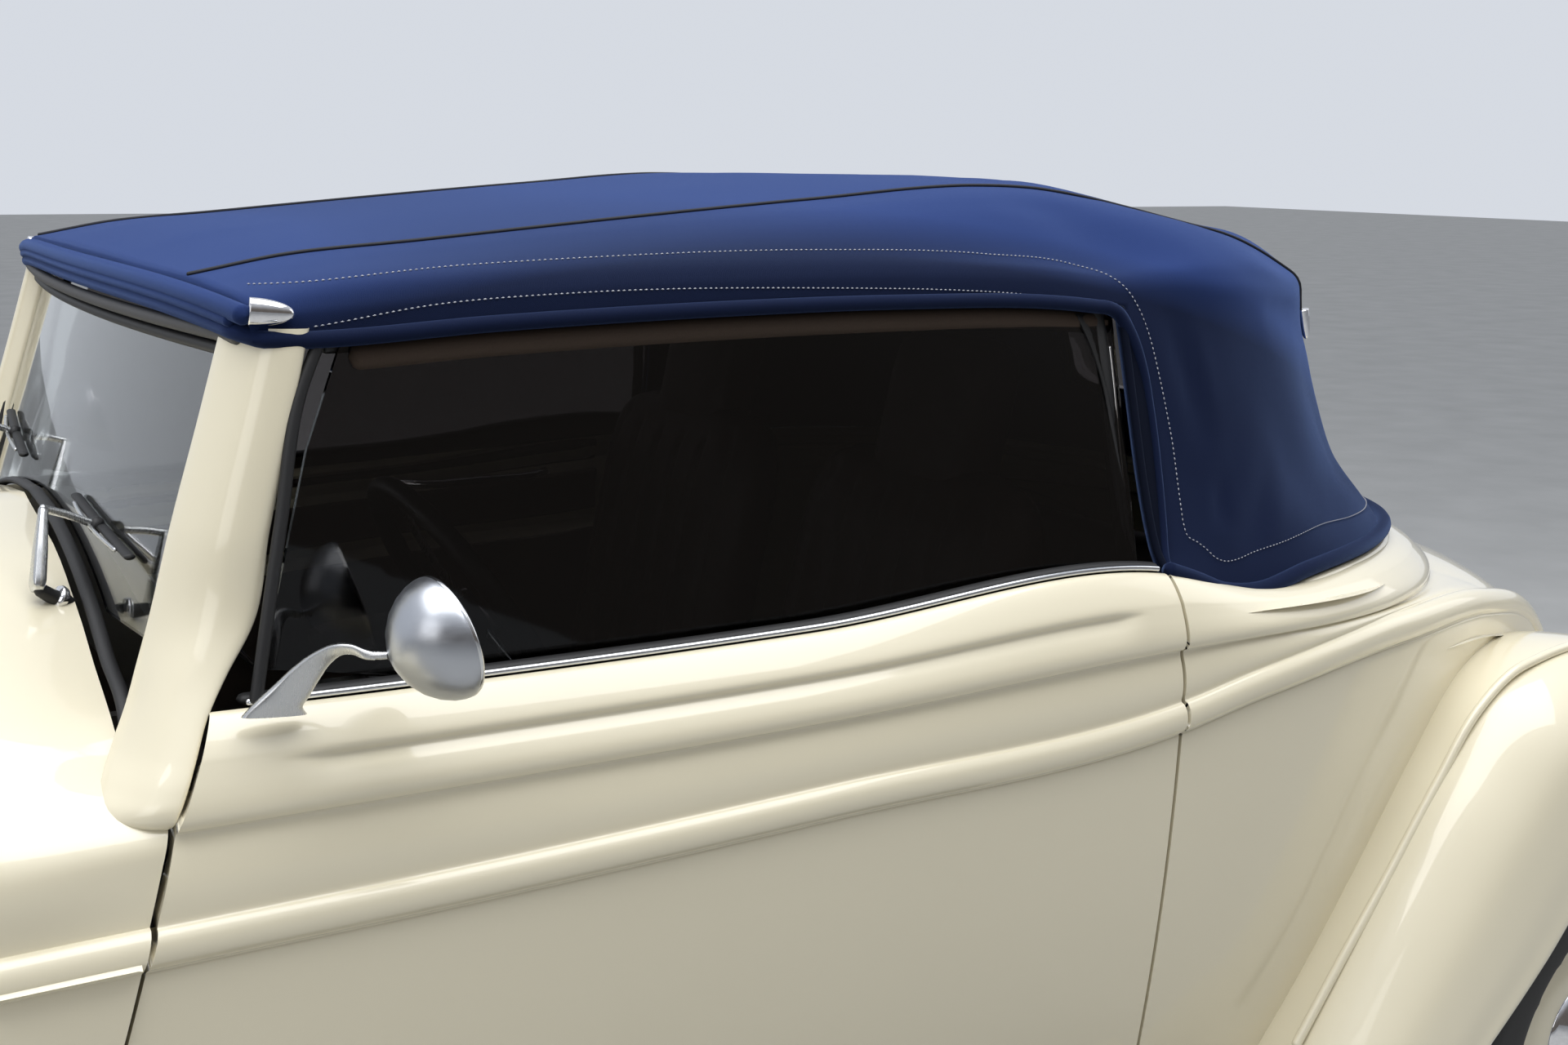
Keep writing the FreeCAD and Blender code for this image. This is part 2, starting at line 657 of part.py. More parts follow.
def plan_prism(outline, z0, z1):
    """A prism whose outline is given by (x, y) points, from z0 to z1."""
    face = Part.Face(polygon([Vector(x, y, z0) for x, y in outline]))
    return face.extrude(Vector(0, 0, z1 - z0))


front_floor = plan_prism([(700, 562), (-740, 604), (-740, -604), (700, -562)], 446, 446 + floor_t)
kick = slab_xz([(-736, 446), (-940, 537), (-946, 537 + floor_t), (-736, 446 + floor_t)], -520, 520)
boot_floor = plan_prism([(-938, 530), (-1330, 470), (-1600, 280), (-1720, 150), (-1720, -150), (-1600, -280),
                         (-1330, -470), (-938, -530)], 537, 537 + floor_t)
tub_skin = rod(Vector(rear_x, 540, rear_z), Vector(rear_x, 700, rear_z), wheel_space + 9.9)
tub_skin = tub_skin.cut(rod(Vector(rear_x, 550, rear_z), Vector(rear_x, 710, rear_z), wheel_space))
tub_skin = tub_skin.common(block(-3000, 0, 0, 800, 500, 2000))
tub_link = block(-1500, -1000, 440, 545, 537, 537 + floor_t).cut(boot_floor)
sill = plan_prism([(650, 520), (650, 592), (-568, 636), (-568, 556)], 374, 404)
sill = sill.fuse(plan_prism([(650, 520), (650, 562), (-568, 598), (-568, 556)], 400, 454))
sill = sill.fuse(rocker)
floor = front_floor.fuse([kick, boot_floor, tub_skin, mirrored(tub_skin), tub_link, mirrored(tub_link), sill,
                          mirrored(sill)])
floor = floor.cut([quarter, mirrored(quarter), tail, rear_fender, mirrored(rear_fender)])
piece("floor_pan", largest(floor))

firewall = cowl_inner.common(block(690, 700, -1200, 1200, 950, 1300))
lower = block(690, 700, -600, 600, 454, 925)
firewall = largest(firewall.fuse(lower).cut(cowl).cut(wall).cut(mirrored(wall)))
piece("firewall", firewall)

dash = cowl_inner.common(slab_xz([(476, 1148), (500, 1148), (470, 930), (446, 930)], -1200, 1200))
dash_stays = [block(474, 689.7, s * 438 - 8, s * 438 + 8, 985, 1000) for s in (-1, 1)]
dash = largest(dash.fuse(dash_stays).cut(door_room).cut(cowl))
piece("dashboard", dash)

# Running gear

kingpin_y, kingpin_r = float(size.kingpin_y), float(size.kingpin_radius)
eye_bore = kingpin_r + float(size.kingpin_clearance)
half_front = float(size.front_track) / 2
beam = rod(Vector(front_x, -kingpin_y + 40, 250), Vector(front_x, kingpin_y - 40, 250), 27)
ends = []
for side in (-1, 1):
    eye = rod(Vector(front_x, side * kingpin_y, 255), Vector(front_x, side * kingpin_y, 375), 27)
    link = block(front_x - 22, front_x + 22, min(side * 530, side * 578), max(side * 530, side * 578), 256, 355)
    bore = rod(Vector(front_x, side * kingpin_y, 200), Vector(front_x, side * kingpin_y, 400), eye_bore)
    ends.append(eye.fuse(link).cut(bore))
spring = [block(front_x - 30, front_x + 30, -330, 330, 287 + 11 * i, 296 + 11 * i) for i in range(3)]
hanger = [block(front_x - 34, front_x + 34, -40, 40, 262, 346), rod(Vector(front_x - 5, -240, 250),
          Vector(780, -284.7, 360), 15), rod(Vector(front_x - 5, 240, 250), Vector(780, 284.7, 360), 15)]
clips = [block(front_x - 20, front_x + 20, y - 14, y + 14, 262, 292) for y in (-300, 300)]
front_axle = beam.fuse(ends + spring + hanger + clips).cut(frame_rails)
cross = block(front_x - 45, front_x + 45, -302, 302, 346, 420)
piece("front_axle", largest(front_axle))
frame_rails = whole(frame_rails.fuse(cross))
NODES[[n.Label for n in NODES].index("frame_rails")].Shape = frame_rails

half_rear = float(size.rear_track) / 2
axle_rear = rod(Vector(rear_x, -half_rear + 60, rear_z), Vector(rear_x, half_rear - 60, rear_z), 40)
ball = Part.makeSphere(120, Vector(rear_x, 0, rear_z))
shaft = rod(Vector(rear_x + 90, 0, rear_z), Vector(520, 0, 396), 34)
rear_spring = [rod(Vector(rear_x - 60, s * 270, rear_z + 10), Vector(rear_x - 60, s * 270, 470), 42) for s in (-1, 1)]
arms = [rod(Vector(rear_x, s * 480, rear_z), Vector(-700, s * 352, 360), 18) for s in (-1, 1)]
hubs = [rod(Vector(rear_x, s * (half_rear - 66), rear_z), Vector(rear_x, s * (half_rear + 62), rear_z), 34.95)
        for s in (-1, 1)]
rear_axle = axle_rear.fuse([ball, shaft] + rear_spring + arms + hubs)
rear_axle = largest(rear_axle.cut(frame_rails))
piece("rear_axle", rear_axle)


def turned(profile, centre, axis=Vector(0, 1, 0)):
    """A solid of revolution about a line along Y; the profile is (radius, y) points, y from the wheel's middle."""
    pts = [Vector(centre.x, centre.y + y, centre.z + r) for r, y in profile]
    return Part.Face(polygon(pts)).revolve(centre, axis, 360)


def tyre_shape(radius, width, centre):
    rim, w = float(size.rim_radius), width / 2
    x, y, z = centre.x, centre.y, centre.z

    def at(r, dy):
        return Vector(x, y + dy, z + r)
    mid = (radius + rim) / 2
    wire = Part.Wire([
        line(at(rim - 4, -w * 0.66), at(rim + 8, -w * 0.74)),
        arc(at(rim + 8, -w * 0.74), at(mid, -w), at(radius - 12, -w * 0.82)),
        arc(at(radius - 12, -w * 0.82), at(radius, 0), at(radius - 12, w * 0.82)),
        arc(at(radius - 12, w * 0.82), at(mid, w), at(rim + 8, w * 0.74)),
        line(at(rim + 8, w * 0.74), at(rim - 4, w * 0.66)),
        line(at(rim - 4, w * 0.66), at(rim - 4, -w * 0.66)),
    ])
    return Part.Face(wire).revolve(centre, Vector(0, 1, 0), 360)


def rim_shape(width, centre, side):
    w, rim, bore = width / 2 * 0.66, float(size.rim_radius) - 4, float(size.hub_bore)
    s = side
    barrel = turned([(rim, -w * s), (rim + 10, -w * 1.06 * s), (rim + 10, -w * 1.06 * s), (rim, w * s),
                     (rim - 12, w * s), (rim - 16, -w * s)], centre)
    barrel = turned([(rim, -w * s), (rim, w * s), (rim - 12, w * s), (rim - 16, w * 0.8 * s),
                     (rim - 30, w * 0.2 * s), (rim - 30, -w * 0.4 * s), (rim - 10, -w * s)], centre)
    dish = turned([(rim - 28, w * 0.15 * s), (rim - 28, -w * 0.02 * s), (120, w * 0.38 * s), (bore, w * 0.28 * s),
                   (bore, w * 0.45 * s), (118, w * 0.58 * s)], centre)
    return largest(barrel.fuse(dish))


WHEELS = {
    "fl": (front_x, half_front, front_z, float(size.front_tyre_width), 1),
    "fr": (front_x, -half_front, front_z, float(size.front_tyre_width), -1),
    "rl": (rear_x, half_rear, rear_z, float(size.rear_tyre_width), 1),
    "rr": (rear_x, -half_rear, rear_z, float(size.rear_tyre_width), -1),
}
for name, (x, y, z, width, side) in WHEELS.items():
    centre = Vector(x, y, z)
    piece(f"tyre_{name}", tyre_shape(z, width, centre))
    piece(f"rim_{name}", rim_shape(width, centre, side))

# Steering: knuckles on the kingpins, tie rod, column and wheel

arm_x = front_x - float(size.steer_arm)
arm_y = kingpin_y
rod_z = float(size.tie_rod_z)
knuckle = rod(Vector(front_x, kingpin_y, 222), Vector(front_x, kingpin_y, 408), kingpin_r)
upper = rod(Vector(front_x, kingpin_y, 380), Vector(front_x, kingpin_y, 402), 24)
lower = rod(Vector(front_x, kingpin_y, 226), Vector(front_x, kingpin_y, 250), 24)
web = block(front_x - 20, front_x + 20, kingpin_y + 6, kingpin_y + 46, 226, 402)
web = web.cut(rod(Vector(front_x, kingpin_y, 250), Vector(front_x, kingpin_y, 380), 34))
stub = rod(Vector(front_x, kingpin_y + 36, front_z), Vector(front_x, half_front + 62, front_z), 34.95)
stub = stub.cut(rod(Vector(front_x, kingpin_y, 250), Vector(front_x, kingpin_y, 380), 34))
drum = rod(Vector(front_x, kingpin_y + 40, front_z), Vector(front_x, kingpin_y + 62, front_z), 120)
arm = polygon([Vector(front_x, kingpin_y - 16, 226), Vector(front_x, kingpin_y + 16, 226),
               Vector(arm_x - 14, arm_y + 14, 226), Vector(arm_x - 14, arm_y - 14, 226)])
arm = Part.Face(arm).extrude(Vector(0, 0, 18))
pin = rod(Vector(arm_x, arm_y, 226), Vector(arm_x, arm_y, 208), 8)
knuckle = whole(knuckle.fuse([upper, lower, web, stub, drum, arm, pin]))
piece("knuckle_left", knuckle)
piece("knuckle_right", mirrored(knuckle))

rod_low = 206
tie = rod(Vector(arm_x, -arm_y + 10, 213), Vector(arm_x, arm_y - 10, 213), 8)
for side in (-1, 1):
    tie = tie.fuse(rod(Vector(arm_x, side * arm_y, 206), Vector(arm_x, side * arm_y, 220), 18))
for side in (-1, 1):
    tie = tie.cut(rod(Vector(arm_x, side * arm_y, 200), Vector(arm_x, side * arm_y, 226), 8.1 if side > 0 else 9))
piece("tie_rod", whole(tie))

tilt = math.radians(float(size.column_tilt))
wheel_c = Vector(122, 300, 1014)
col_dir = Vector(-math.cos(tilt), 0, math.sin(tilt))
wheel_r, wheel_t = float(size.steering_wheel_radius), float(size.steering_wheel_rim)
column_end = wheel_c - col_dir * 640
column = rod(column_end, wheel_c - col_dir * 36.3, 20)
column = column.fuse(rod(column_end - col_dir * 30, column_end + col_dir * 60, 46))
bracket = block(440, 470, 270, 330, 870, 960)
box_mount = block(620, 700, 262, 338, 640, 700)
piece("steering_column", whole(column.cut(firewall).cut(cowl)))
ring = Part.makeTorus(wheel_r, wheel_t, wheel_c, col_dir)
hub = rod(wheel_c - col_dir * 36, wheel_c + col_dir * 14, 36)
side_dir = Vector(0, 1, 0)
spokes = []
for angle in (90, 210, 330):
    spoke_dir = Rotation(col_dir, angle).multVec(col_dir.cross(side_dir))
    spokes.append(rod(wheel_c, wheel_c + spoke_dir * (wheel_r - 2), 10))
piece("steering_wheel", whole(ring.fuse([hub] + spokes)))

# Power unit, tank and exhaust, each a plain mass at its real place

e_len, e_wid, e_hi = size.engine_length, size.engine_width, size.engine_height
engine = doc.addObject("Part::Box", "engine_block")
bind(engine, "Length", e_len)
bind(engine, "Width", e_wid)
bind(engine, "Height", e_hi)
put(engine, 770, e_wid * -0.5, 420)
lugs = doc.addObject("Part::Box", "engine_lugs")
lugs.Length, lugs.Width, lugs.Height = 60, 2 * rail_y + 20, 30
put(lugs, 1000, -rail_y - 10, 446.3)
joined = doc.addObject("Part::MultiFuse", "engine")
joined.Shapes = [engine, lugs]
doc.recompute()
keep(joined, "engine_mass")

radiator = doc.addObject("Part::Box", "radiator")
radiator.Length, radiator.Width, radiator.Height = 60, 300, 420
put(radiator, 1490, -150, 420.3)
keep(radiator, "radiator")

tank = doc.addObject("Part::Box", "fuel_tank")
tank.Length, tank.Width, tank.Height = 145, 480, 150
put(tank, -1640, -240, 386.7)
keep(tank, "fuel_tank")



def tube(points, radius):
    """A round bar along a smooth line through the points."""
    path = Part.BSplineCurve()
    path.interpolate([Vector(*v) for v in points])
    spine = Part.Wire(path.toShape())
    start = path.value(path.FirstParameter)
    ring = Part.Wire(Part.makeCircle(radius, start, path.tangent(path.FirstParameter)[0]))
    return spine.makePipeShell([ring], True, True)


EXHAUST = [(1000, 205, 330), (700, 215, 300), (100, 215, 290), (-900, 215, 284), (-1100, 215, 258),
           (-1330, 215, 240), (-1550, 240, 240), (-1800, 280, 262), (-2080, 285, 290)]
run = tube(EXHAUST, 24)
run = run.fuse([rod(Vector(300, 215, 292), Vector(-300, 215, 289), 42), block(615, 625, 209, 221, 296, 344.7),
                block(-605, -595, 209, 221, 286, 344.7)])
run = whole(run)
piece("exhaust", Part.makeCompound([run, mirrored(run)]))

# Seats: two buckets with high backs and a plain bench behind them

def rounded(x0, x1, y0, y1, z0, z1, radius):
    solid = block(x0, x1, y0, y1, z0, z1)
    return solid.makeFillet(radius, solid.Edges)


def leaned(shape, pivot, angle):
    shape = shape.copy()
    shape.rotate(pivot, Vector(0, 1, 0), angle)
    return shape


cushions, backs = [], []
for side in (-1, 1):
    y0, y1 = (70, 560) if side > 0 else (-560, -70)
    pan = leaned(rounded(-370, 190, y0, y1, 560, 700, 45), Vector(0, 0, 560), -7)
    base = block(-300, 100, y0 + 40, y1 - 40, 454.3, 590)
    cushions.append(whole(pan.fuse(base)))
    back = leaned(rounded(-440, -330, y0, y1, 590, 1170, 48), Vector(-385, 0, 640), -13)
    rest_pad = leaned(rounded(-435, -345, y0 + 110, y1 - 110, 1100, 1335, 40), Vector(-385, 0, 640), -13)
    joint = back.fuse(rest_pad).cut(cushions[-1])
    backs.append(largest(joint))
piece("seat_cushions", Part.makeCompound(cushions))
piece("seat_backs", Part.makeCompound(backs))
bench = rounded(-900, -640, -430, 430, 545, 720, 40)
bench_back = rounded(-1000, -900, -430, 430, 600, 1000, 40)
bench_foot = block(-735, -660, -400, 400, 454.3, 600)
piece("rear_bench", largest(bench.fuse([bench_back, bench_foot])))

# Fabric top: one padded skin over the cabin, swept round the same upright axis as the tail

ROOF = [
    # x, lower edge half-width, height, shoulder half-width, height, height at the seam, crown height
    (464, 586, 1368, 545, 1406, 1416, 1422),
    (390, 596, 1370, 555, 1418, 1431, 1443),
    (210, 600, 1378, 558, 1428, 1447, 1457),
    (-50, 602, 1384, 560, 1437, 1470, 1481),
    (-250, 602, 1384, 560, 1437, 1486, 1498),
    (-474, 601, 1374, 560, 1424, 1500, 1508),
    (-560, 600, 1362, 560, 1414, 1498, 1508),
]
BACK = [
    # station, hem half-width, height, waist half-width, height, shoulder half-width, height, rim half-width, height
    (("x", -560), 686, 1072, 640, 1190, 600, 1360, 420, 1498),
    (("x", -620), 686, 1056, 640, 1185, 598, 1356, 420, 1492),
    (("fan", 3), 686, 1040, 640, 1180, 594, 1350, 420, 1480),
    (("fan", 30), 688, 1036, 626, 1150, 574, 1345, 405, 1452),
    (("fan", 60), 690, 1024, 600, 1130, 556, 1335, 390, 1448),
    (("fan", 90), 688, 1010, 576, 1118, 520, 1330, 362, 1451),
    (("fan", 100), 688, 1012, 578, 1119, 522, 1330, 362, 1451),
]
cloth = float(size.cloth)


def roof_section(row, deep=0.0, t=cloth):
    """The top across the car at one station; deep moves both faces inwards."""
    x, y_low, z_low, y_side, z_side, z_seam, z_top = row

    def at(y, z):
        return Vector(x, y, z)
    low, side, seam, top = (y_low, z_low), (y_side, z_side), (420, z_seam), (0, z_top)
    bend = ((y_low + y_side) / 2 + 8, (z_low + z_side) / 2 + 8)
    turn = ((y_side + 420) / 2 + 10, (z_side + z_seam) / 2 + 16)
    flat = (210, (z_seam * 0.3 + z_top * 0.7))
    outer = [(q[0] - k * deep, q[1] - m * deep) for q, k, m in (
        (low, 1, 0), (bend, 0.9, 0.4), (side, 0.6, 1), (turn, 0.5, 1), (seam, 0.1, 1), (flat, 0, 1), (top, 0, 1))]
    inner = [(q[0] - k * t, q[1] - m * t) for q, k, m in zip(
        outer, (1, 0.9, 0.6, 0.5, 0.1, 0, 0), (0, 0.4, 1, 1, 1, 1, 1))]
    p, q = [at(*v) for v in outer], [at(*v) for v in inner]
    return Part.Wire([
        arc(p[0], p[1], p[2]), arc(p[2], p[3], p[4]), arc(p[4], p[5], p[6]), line(p[6], q[6]),
        arc(q[6], q[5], q[4]), arc(q[4], q[3], q[2]), arc(q[2], q[1], q[0]), line(q[0], p[0]),
    ])


def back_section(row):
    station, h_hem, z_hem, h_waist, z_waist, h_side, z_side, h_rim, z_rim = row
    at = stand(station)
    t, top = cloth, 1508
    h_near = -5 if station[0] == "x" else 60
    turn = ((h_side + h_rim) / 2 + 30, (z_side + z_rim) / 2 + 20)
    rise = (h_rim * 0.5, (z_rim + top) / 2 + 10 + (z_rim - 1451) * 0.08)
    outer = [(h_hem, z_hem), (h_waist, z_waist), (h_side, z_side), turn, (h_rim, z_rim), rise, (h_near, top)]
    inner = [(h_hem - t, z_hem), (h_waist - t, z_waist), (h_side - t, z_side - 2), (turn[0] - t * 0.8, turn[1] - t * 0.7),
             (h_rim - t * 0.3, z_rim - t), (rise[0], rise[1] - t), (h_near, top - t)]
    p, q = [at(*v) for v in outer], [at(*v) for v in inner]
    return Part.Wire([
        arc(p[0], p[1], p[2]), arc(p[2], p[3], p[4]), arc(p[4], p[5], p[6]), line(p[6], q[6]),
        arc(q[6], q[5], q[4]), arc(q[4], q[3], q[2]), arc(q[2], q[1], q[0]), line(q[0], p[0]),
    ])


roof = loft([roof_section(row) for row in ROOF])
rear_cloth = loft([back_section(row) for row in BACK])
hub_cloth = rod(Vector(fan_x, 0, 1508 - cloth), Vector(fan_x, 0, 1508), 64)
top_half = roof.fuse([rear_cloth, hub_cloth])
top_half = top_half.common(block(-2000, 900, 0, 900, 900, 1700))
soft_top = top_half.fuse(mirrored(top_half))
window_space = block(-1400, -1000, -250, 250, 1135, 1290)
soft_top = whole(soft_top)
window_panel = largest(soft_top.common(window_space))
door_corner = block(door_rear - 4, 0, 560, 800, 900, 1082)
soft_top = soft_top.cut(window_space).cut(frame).cut([door_corner, mirrored(door_corner)])
soft_top = largest(soft_top.cut([quarter, mirrored(quarter), tail]))
piece("soft_top", soft_top)
piece("rear_window", window_panel)

# Folding frame under the fabric: three bows and a side rail each side
under_roof = loft([roof_section(row, cloth + 0.3, 20) for row in ROOF])
bows = []
for x in (250, -120, -500):
    bows.append(under_roof.common(block(x - 18, x + 18, 0, 700, 1300, 1600)))
bows.append(block(-540, 330, 556, 570, 1366, 1386))
bow_half = bows[0].fuse(bows[1:])
bow_pack = bow_half.fuse(mirrored(bow_half))
piece("top_frame", largest(bow_pack))

# Side glass, raised: a twisted slab from the door sill to the fabric's edge

def glass_edge(x, low, high):
    t = pane_t
    return polygon([Vector(x, low[0], low[1]), Vector(x, low[0] - t, low[1]), Vector(x, high[0] - t, high[1]),
                    Vector(x, high[0], high[1])])


side_glass = Part.makeLoft([glass_edge(520, (600, 1030), (574, 1376)), glass_edge(-556, (662, 1052), (588, 1372))],
                           True, True)
glass_space = slab_xz([(452, 1020), (444, 1060), (388, 1268), (350, 1364), (-556, 1356), (-556, 1020)], 0, 900)
side_glass = side_glass.common(glass_space).cut(door_left).cut(soft_top).cut(frame).cut(bow_pack)
side_glass = largest(side_glass)
piece("door_glass_left", side_glass)
piece("door_glass_right", mirrored(side_glass))

# Mirrors on the doors: a curved arm and a bullet head

ARM = [
    # upper edge x, z; lower edge x, z; y of the arm's middle
    (469, 1053, 424, 1050, 668), (452, 1076, 420, 1063, 674), (435, 1094, 413, 1081, 684),
    (419, 1109, 406, 1098, 697), (407, 1117, 400, 1106.5, 709), (395, 1118, 393, 1108, 720), (372, 1115, 373, 1106, 738),
]
arm_sections = [polygon([Vector(xa, y - 5, za), Vector(xa, y + 5, za), Vector(xb, y + 5, zb), Vector(xb, y - 5, zb)])
                for xa, za, xb, zb, y in ARM]
mirror_arm = loft(arm_sections, True)
facing = Vector(-0.962, -0.135, 0.236)
facing.normalize()
bowl_profile = [line(Vector(0, 0, 0), Vector(0, 56, 0)), line(Vector(0, 56, 0), Vector(-6, 57, 0)),
                arc(Vector(-6, 57, 0), Vector(-38, 38, 0), Vector(-54, 0, 0)), line(Vector(-54, 0, 0), Vector(0, 0, 0))]
head = Part.Face(Part.Wire(bowl_profile)).revolve(Vector(0, 0, 0), Vector(1, 0, 0), 360)
head.Placement = FreeCAD.Placement(Vector(322, 757, 1124), Rotation(Vector(1, 0, 0), facing))
neck = rod(Vector(374, 737, 1110.5), Vector(352, 752, 1112), 4.5)
foot = block(424, 470, 655, 681, 1036, 1056)
mirror = largest(mirror_arm.fuse([neck, head, foot]).cut(door_left))
piece("mirror_left", mirror)
piece("mirror_right", mirrored(mirror))

# Wipers at rest along the foot of the pane

wiper = []
for shift, lift in ((0, 0), (-560, 19)):
    base = Vector(564, 325 + shift, 1090 + lift)
    low, high = Vector(592, 335 + shift, 1106 + lift), Vector(575, 300 + shift, 1182 + lift)
    knob = Vector(screen_x(1158, 300) - 3, 295 + shift, 1158 + lift)
    bar = [polygon([p + Vector(-6, -w, 0), p + Vector(-6, w, 0), p + Vector(6, w, 4), p + Vector(6, -w, 4)])
           for p, w in ((low, 12), (high, 7))]
    blade = rod(knob + Vector(0, -115, 0), knob + Vector(0, 115, 0), 5)
    spindle = rod(base, low + Vector(0, 0, 2), 8)
    wiper.append(spindle.fuse([loft(bar), rod(high, knob, 4), blade]))
wipers = Part.makeCompound([largest(w.cut(pane).cut(frame).cut(cowl)) for w in wiper])
piece("wipers", wipers)

# Lamps and bumpers

lamps, lenses, tails = [], [], []
for side in (-1, 1):
    centre = Vector(1690, side * 420, 850)
    bowl = Part.Face(Part.Wire([
        line(Vector(0, 0, 0), Vector(0, 0, 92)),
        arc(Vector(0, 0, 92), Vector(-110, 0, 72), Vector(-230, 0, 0)),
        line(Vector(-230, 0, 0), Vector(0, 0, 0))])).revolve(Vector(0, 0, 0), Vector(1, 0, 0), 360)
    bowl.translate(centre)
    stalk = rod(centre + Vector(-60, side * 10, -60), centre + Vector(-60, side * 60, -170), 16)
    inner_arm = rod(centre + Vector(-80, 0, 0), Vector(1600, side * 200, 780), 14)
    post_arm = stalk.fuse(inner_arm)
    lens = Part.makeSphere(186.4, Vector(-166.4, 0, 0)).common(block(0.3, 40, -100, 100, -100, 100))
    lens.translate(centre)
    fender_here = front_fender if side > 0 else mirrored(front_fender)
    skin_here = side_left if side > 0 else mirrored(side_left)
    solid = bowl.fuse(post_arm).cut(fender_here).cut(skin_here).cut(grille_shell).cut(hood_fill)
    lamps.append(largest(solid))
    lenses.append(lens)
    tear = Part.Face(Part.Wire([
        line(Vector(0, 0, 0), Vector(0, 0, 38)),
        arc(Vector(0, 0, 38), Vector(60, 0, 28), Vector(110, 0, 0)),
        line(Vector(110, 0, 0), Vector(0, 0, 0))])).revolve(Vector(0, 0, 0), Vector(1, 0, 0), 360)
    tear.translate(Vector(-1960, side * 690, 560))
    tear = tear.fuse(rod(Vector(-1940, side * 690, 560), Vector(-1880, side * 660, 520), 22))
    tails.append(largest(tear.cut(rear_fender if side > 0 else mirrored(rear_fender))))
piece("headlamps", Part.makeCompound(lamps))
piece("headlamp_lenses", Part.makeCompound(lenses))
piece("tail_lamps", Part.makeCompound(tails))


def bumper(reach, sign, mount_x, low, iron_low):
    """A bowed bar standing on two irons from the rails."""
    half, t = 800, 16
    x = sign * reach

    def plan(offset):
        return [Vector(x - sign * (150 + offset), -half, 0), Vector(x - sign * offset, 0, 0),
                Vector(x - sign * (150 + offset), half, 0)]
    a, b = plan(0), plan(t)
    wire = Part.Wire([arc(*a), line(a[2], b[2]), arc(b[2], b[1], b[0]), line(b[0], a[0])])
    bar = Part.Face(wire).extrude(Vector(0, 0, 78))
    bar.translate(Vector(0, 0, low))
    irons = []
    for side in (-1, 1):
        irons.append(block(min(mount_x, x - sign * 40), max(mount_x, x - sign * 40), side * 326 - 14,
                           side * 326 + 14, iron_low, iron_low + 18))
    return whole(bar.fuse(irons))


reach = float(size.bumper_reach)
front_bumper = bumper(reach, 1, 1880.3, 375, 396).cut(front_fender).cut(mirrored(front_fender))
piece("front_bumper", largest(front_bumper.cut(grille_shell)))
rear_bumper = bumper(reach, -1, -1980.3, 330, 346)
for y in (-89, 89):
    rear_bumper = rear_bumper.cut(rod(Vector(-2300, y, 369), Vector(-2100, y, 369), 3.5))
rear_bumper = rear_bumper.cut(rear_fender).cut(mirrored(rear_fender))
piece("rear_bumper", largest(rear_bumper.cut(tail)))

# Checks and files

os.makedirs("parts", exist_ok=True)
doc.recompute()
for thing in doc.Objects:
    if "Invalid" in thing.State or "Error" in thing.State:
        raise SystemExit(f"{thing.Label} did not build")
for thing in NODES:
    shape = thing.Shape
    if shape.isNull() or not shape.isValid() or shape.Volume < 100:
        print("not valid", thing.Label)
    shape.exportStep(os.path.join("parts", f"{thing.Label}.step"))
print(len(NODES), "pieces")
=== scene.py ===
import bmesh
import bpy
import json
import math
import numpy as np
from mathutils import Matrix, Vector


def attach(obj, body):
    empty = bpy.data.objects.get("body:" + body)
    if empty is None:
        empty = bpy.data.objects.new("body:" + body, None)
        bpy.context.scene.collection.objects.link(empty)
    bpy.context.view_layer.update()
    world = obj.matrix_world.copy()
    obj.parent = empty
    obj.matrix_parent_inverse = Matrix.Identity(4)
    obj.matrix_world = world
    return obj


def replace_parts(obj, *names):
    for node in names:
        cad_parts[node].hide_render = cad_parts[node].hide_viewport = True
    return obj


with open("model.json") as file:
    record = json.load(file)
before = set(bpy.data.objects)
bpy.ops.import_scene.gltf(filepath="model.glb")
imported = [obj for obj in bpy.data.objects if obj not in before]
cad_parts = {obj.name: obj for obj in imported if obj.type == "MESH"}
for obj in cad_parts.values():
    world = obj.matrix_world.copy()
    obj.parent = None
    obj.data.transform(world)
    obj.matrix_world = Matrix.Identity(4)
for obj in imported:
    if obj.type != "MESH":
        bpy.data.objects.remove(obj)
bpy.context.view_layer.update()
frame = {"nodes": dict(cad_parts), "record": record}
nodes = frame["nodes"]
scene = bpy.context.scene
sides = (("left", False), ("right", True))


def newMaterial(name):
    material = bpy.data.materials.new(name)
    material.use_nodes = True
    tree = material.node_tree
    return material, tree, tree.nodes["Principled BSDF"]


def setInputs(node, values):
    for key, value in values.items():
        node.inputs[key].default_value = value
    return node


def addNode(tree, kind, inputs=None, **settings):
    node = tree.nodes.new(kind)
    for key, value in settings.items():
        setattr(node, key, value)
    return setInputs(node, inputs or {})


def link(source, output, target, entry):
    source.id_data.links.new(source.outputs[output], target.inputs[entry])


def shadeOf(color, factor):
    return (*[min(1, c * factor) for c in color], 1)


def cloud(tree, coord, color, low, high, **noise):
    # colour between two shades of itself, moved by a noise on the object's coordinates
    field = addNode(tree, "ShaderNodeTexNoise", noise)
    mix = addNode(tree, "ShaderNodeMixRGB", {"Color1": shadeOf(color, low), "Color2": shadeOf(color, high)})
    link(coord, "Object", field, "Vector")
    link(field, "Fac", mix, "Fac")
    return field, mix


def addBump(tree, source, output, shader, strength, distance=0.001, entry="Normal"):
    bump = addNode(tree, "ShaderNodeBump", {"Strength": strength, "Distance": distance})
    link(source, output, bump, "Height")
    link(bump, "Normal", shader, entry)


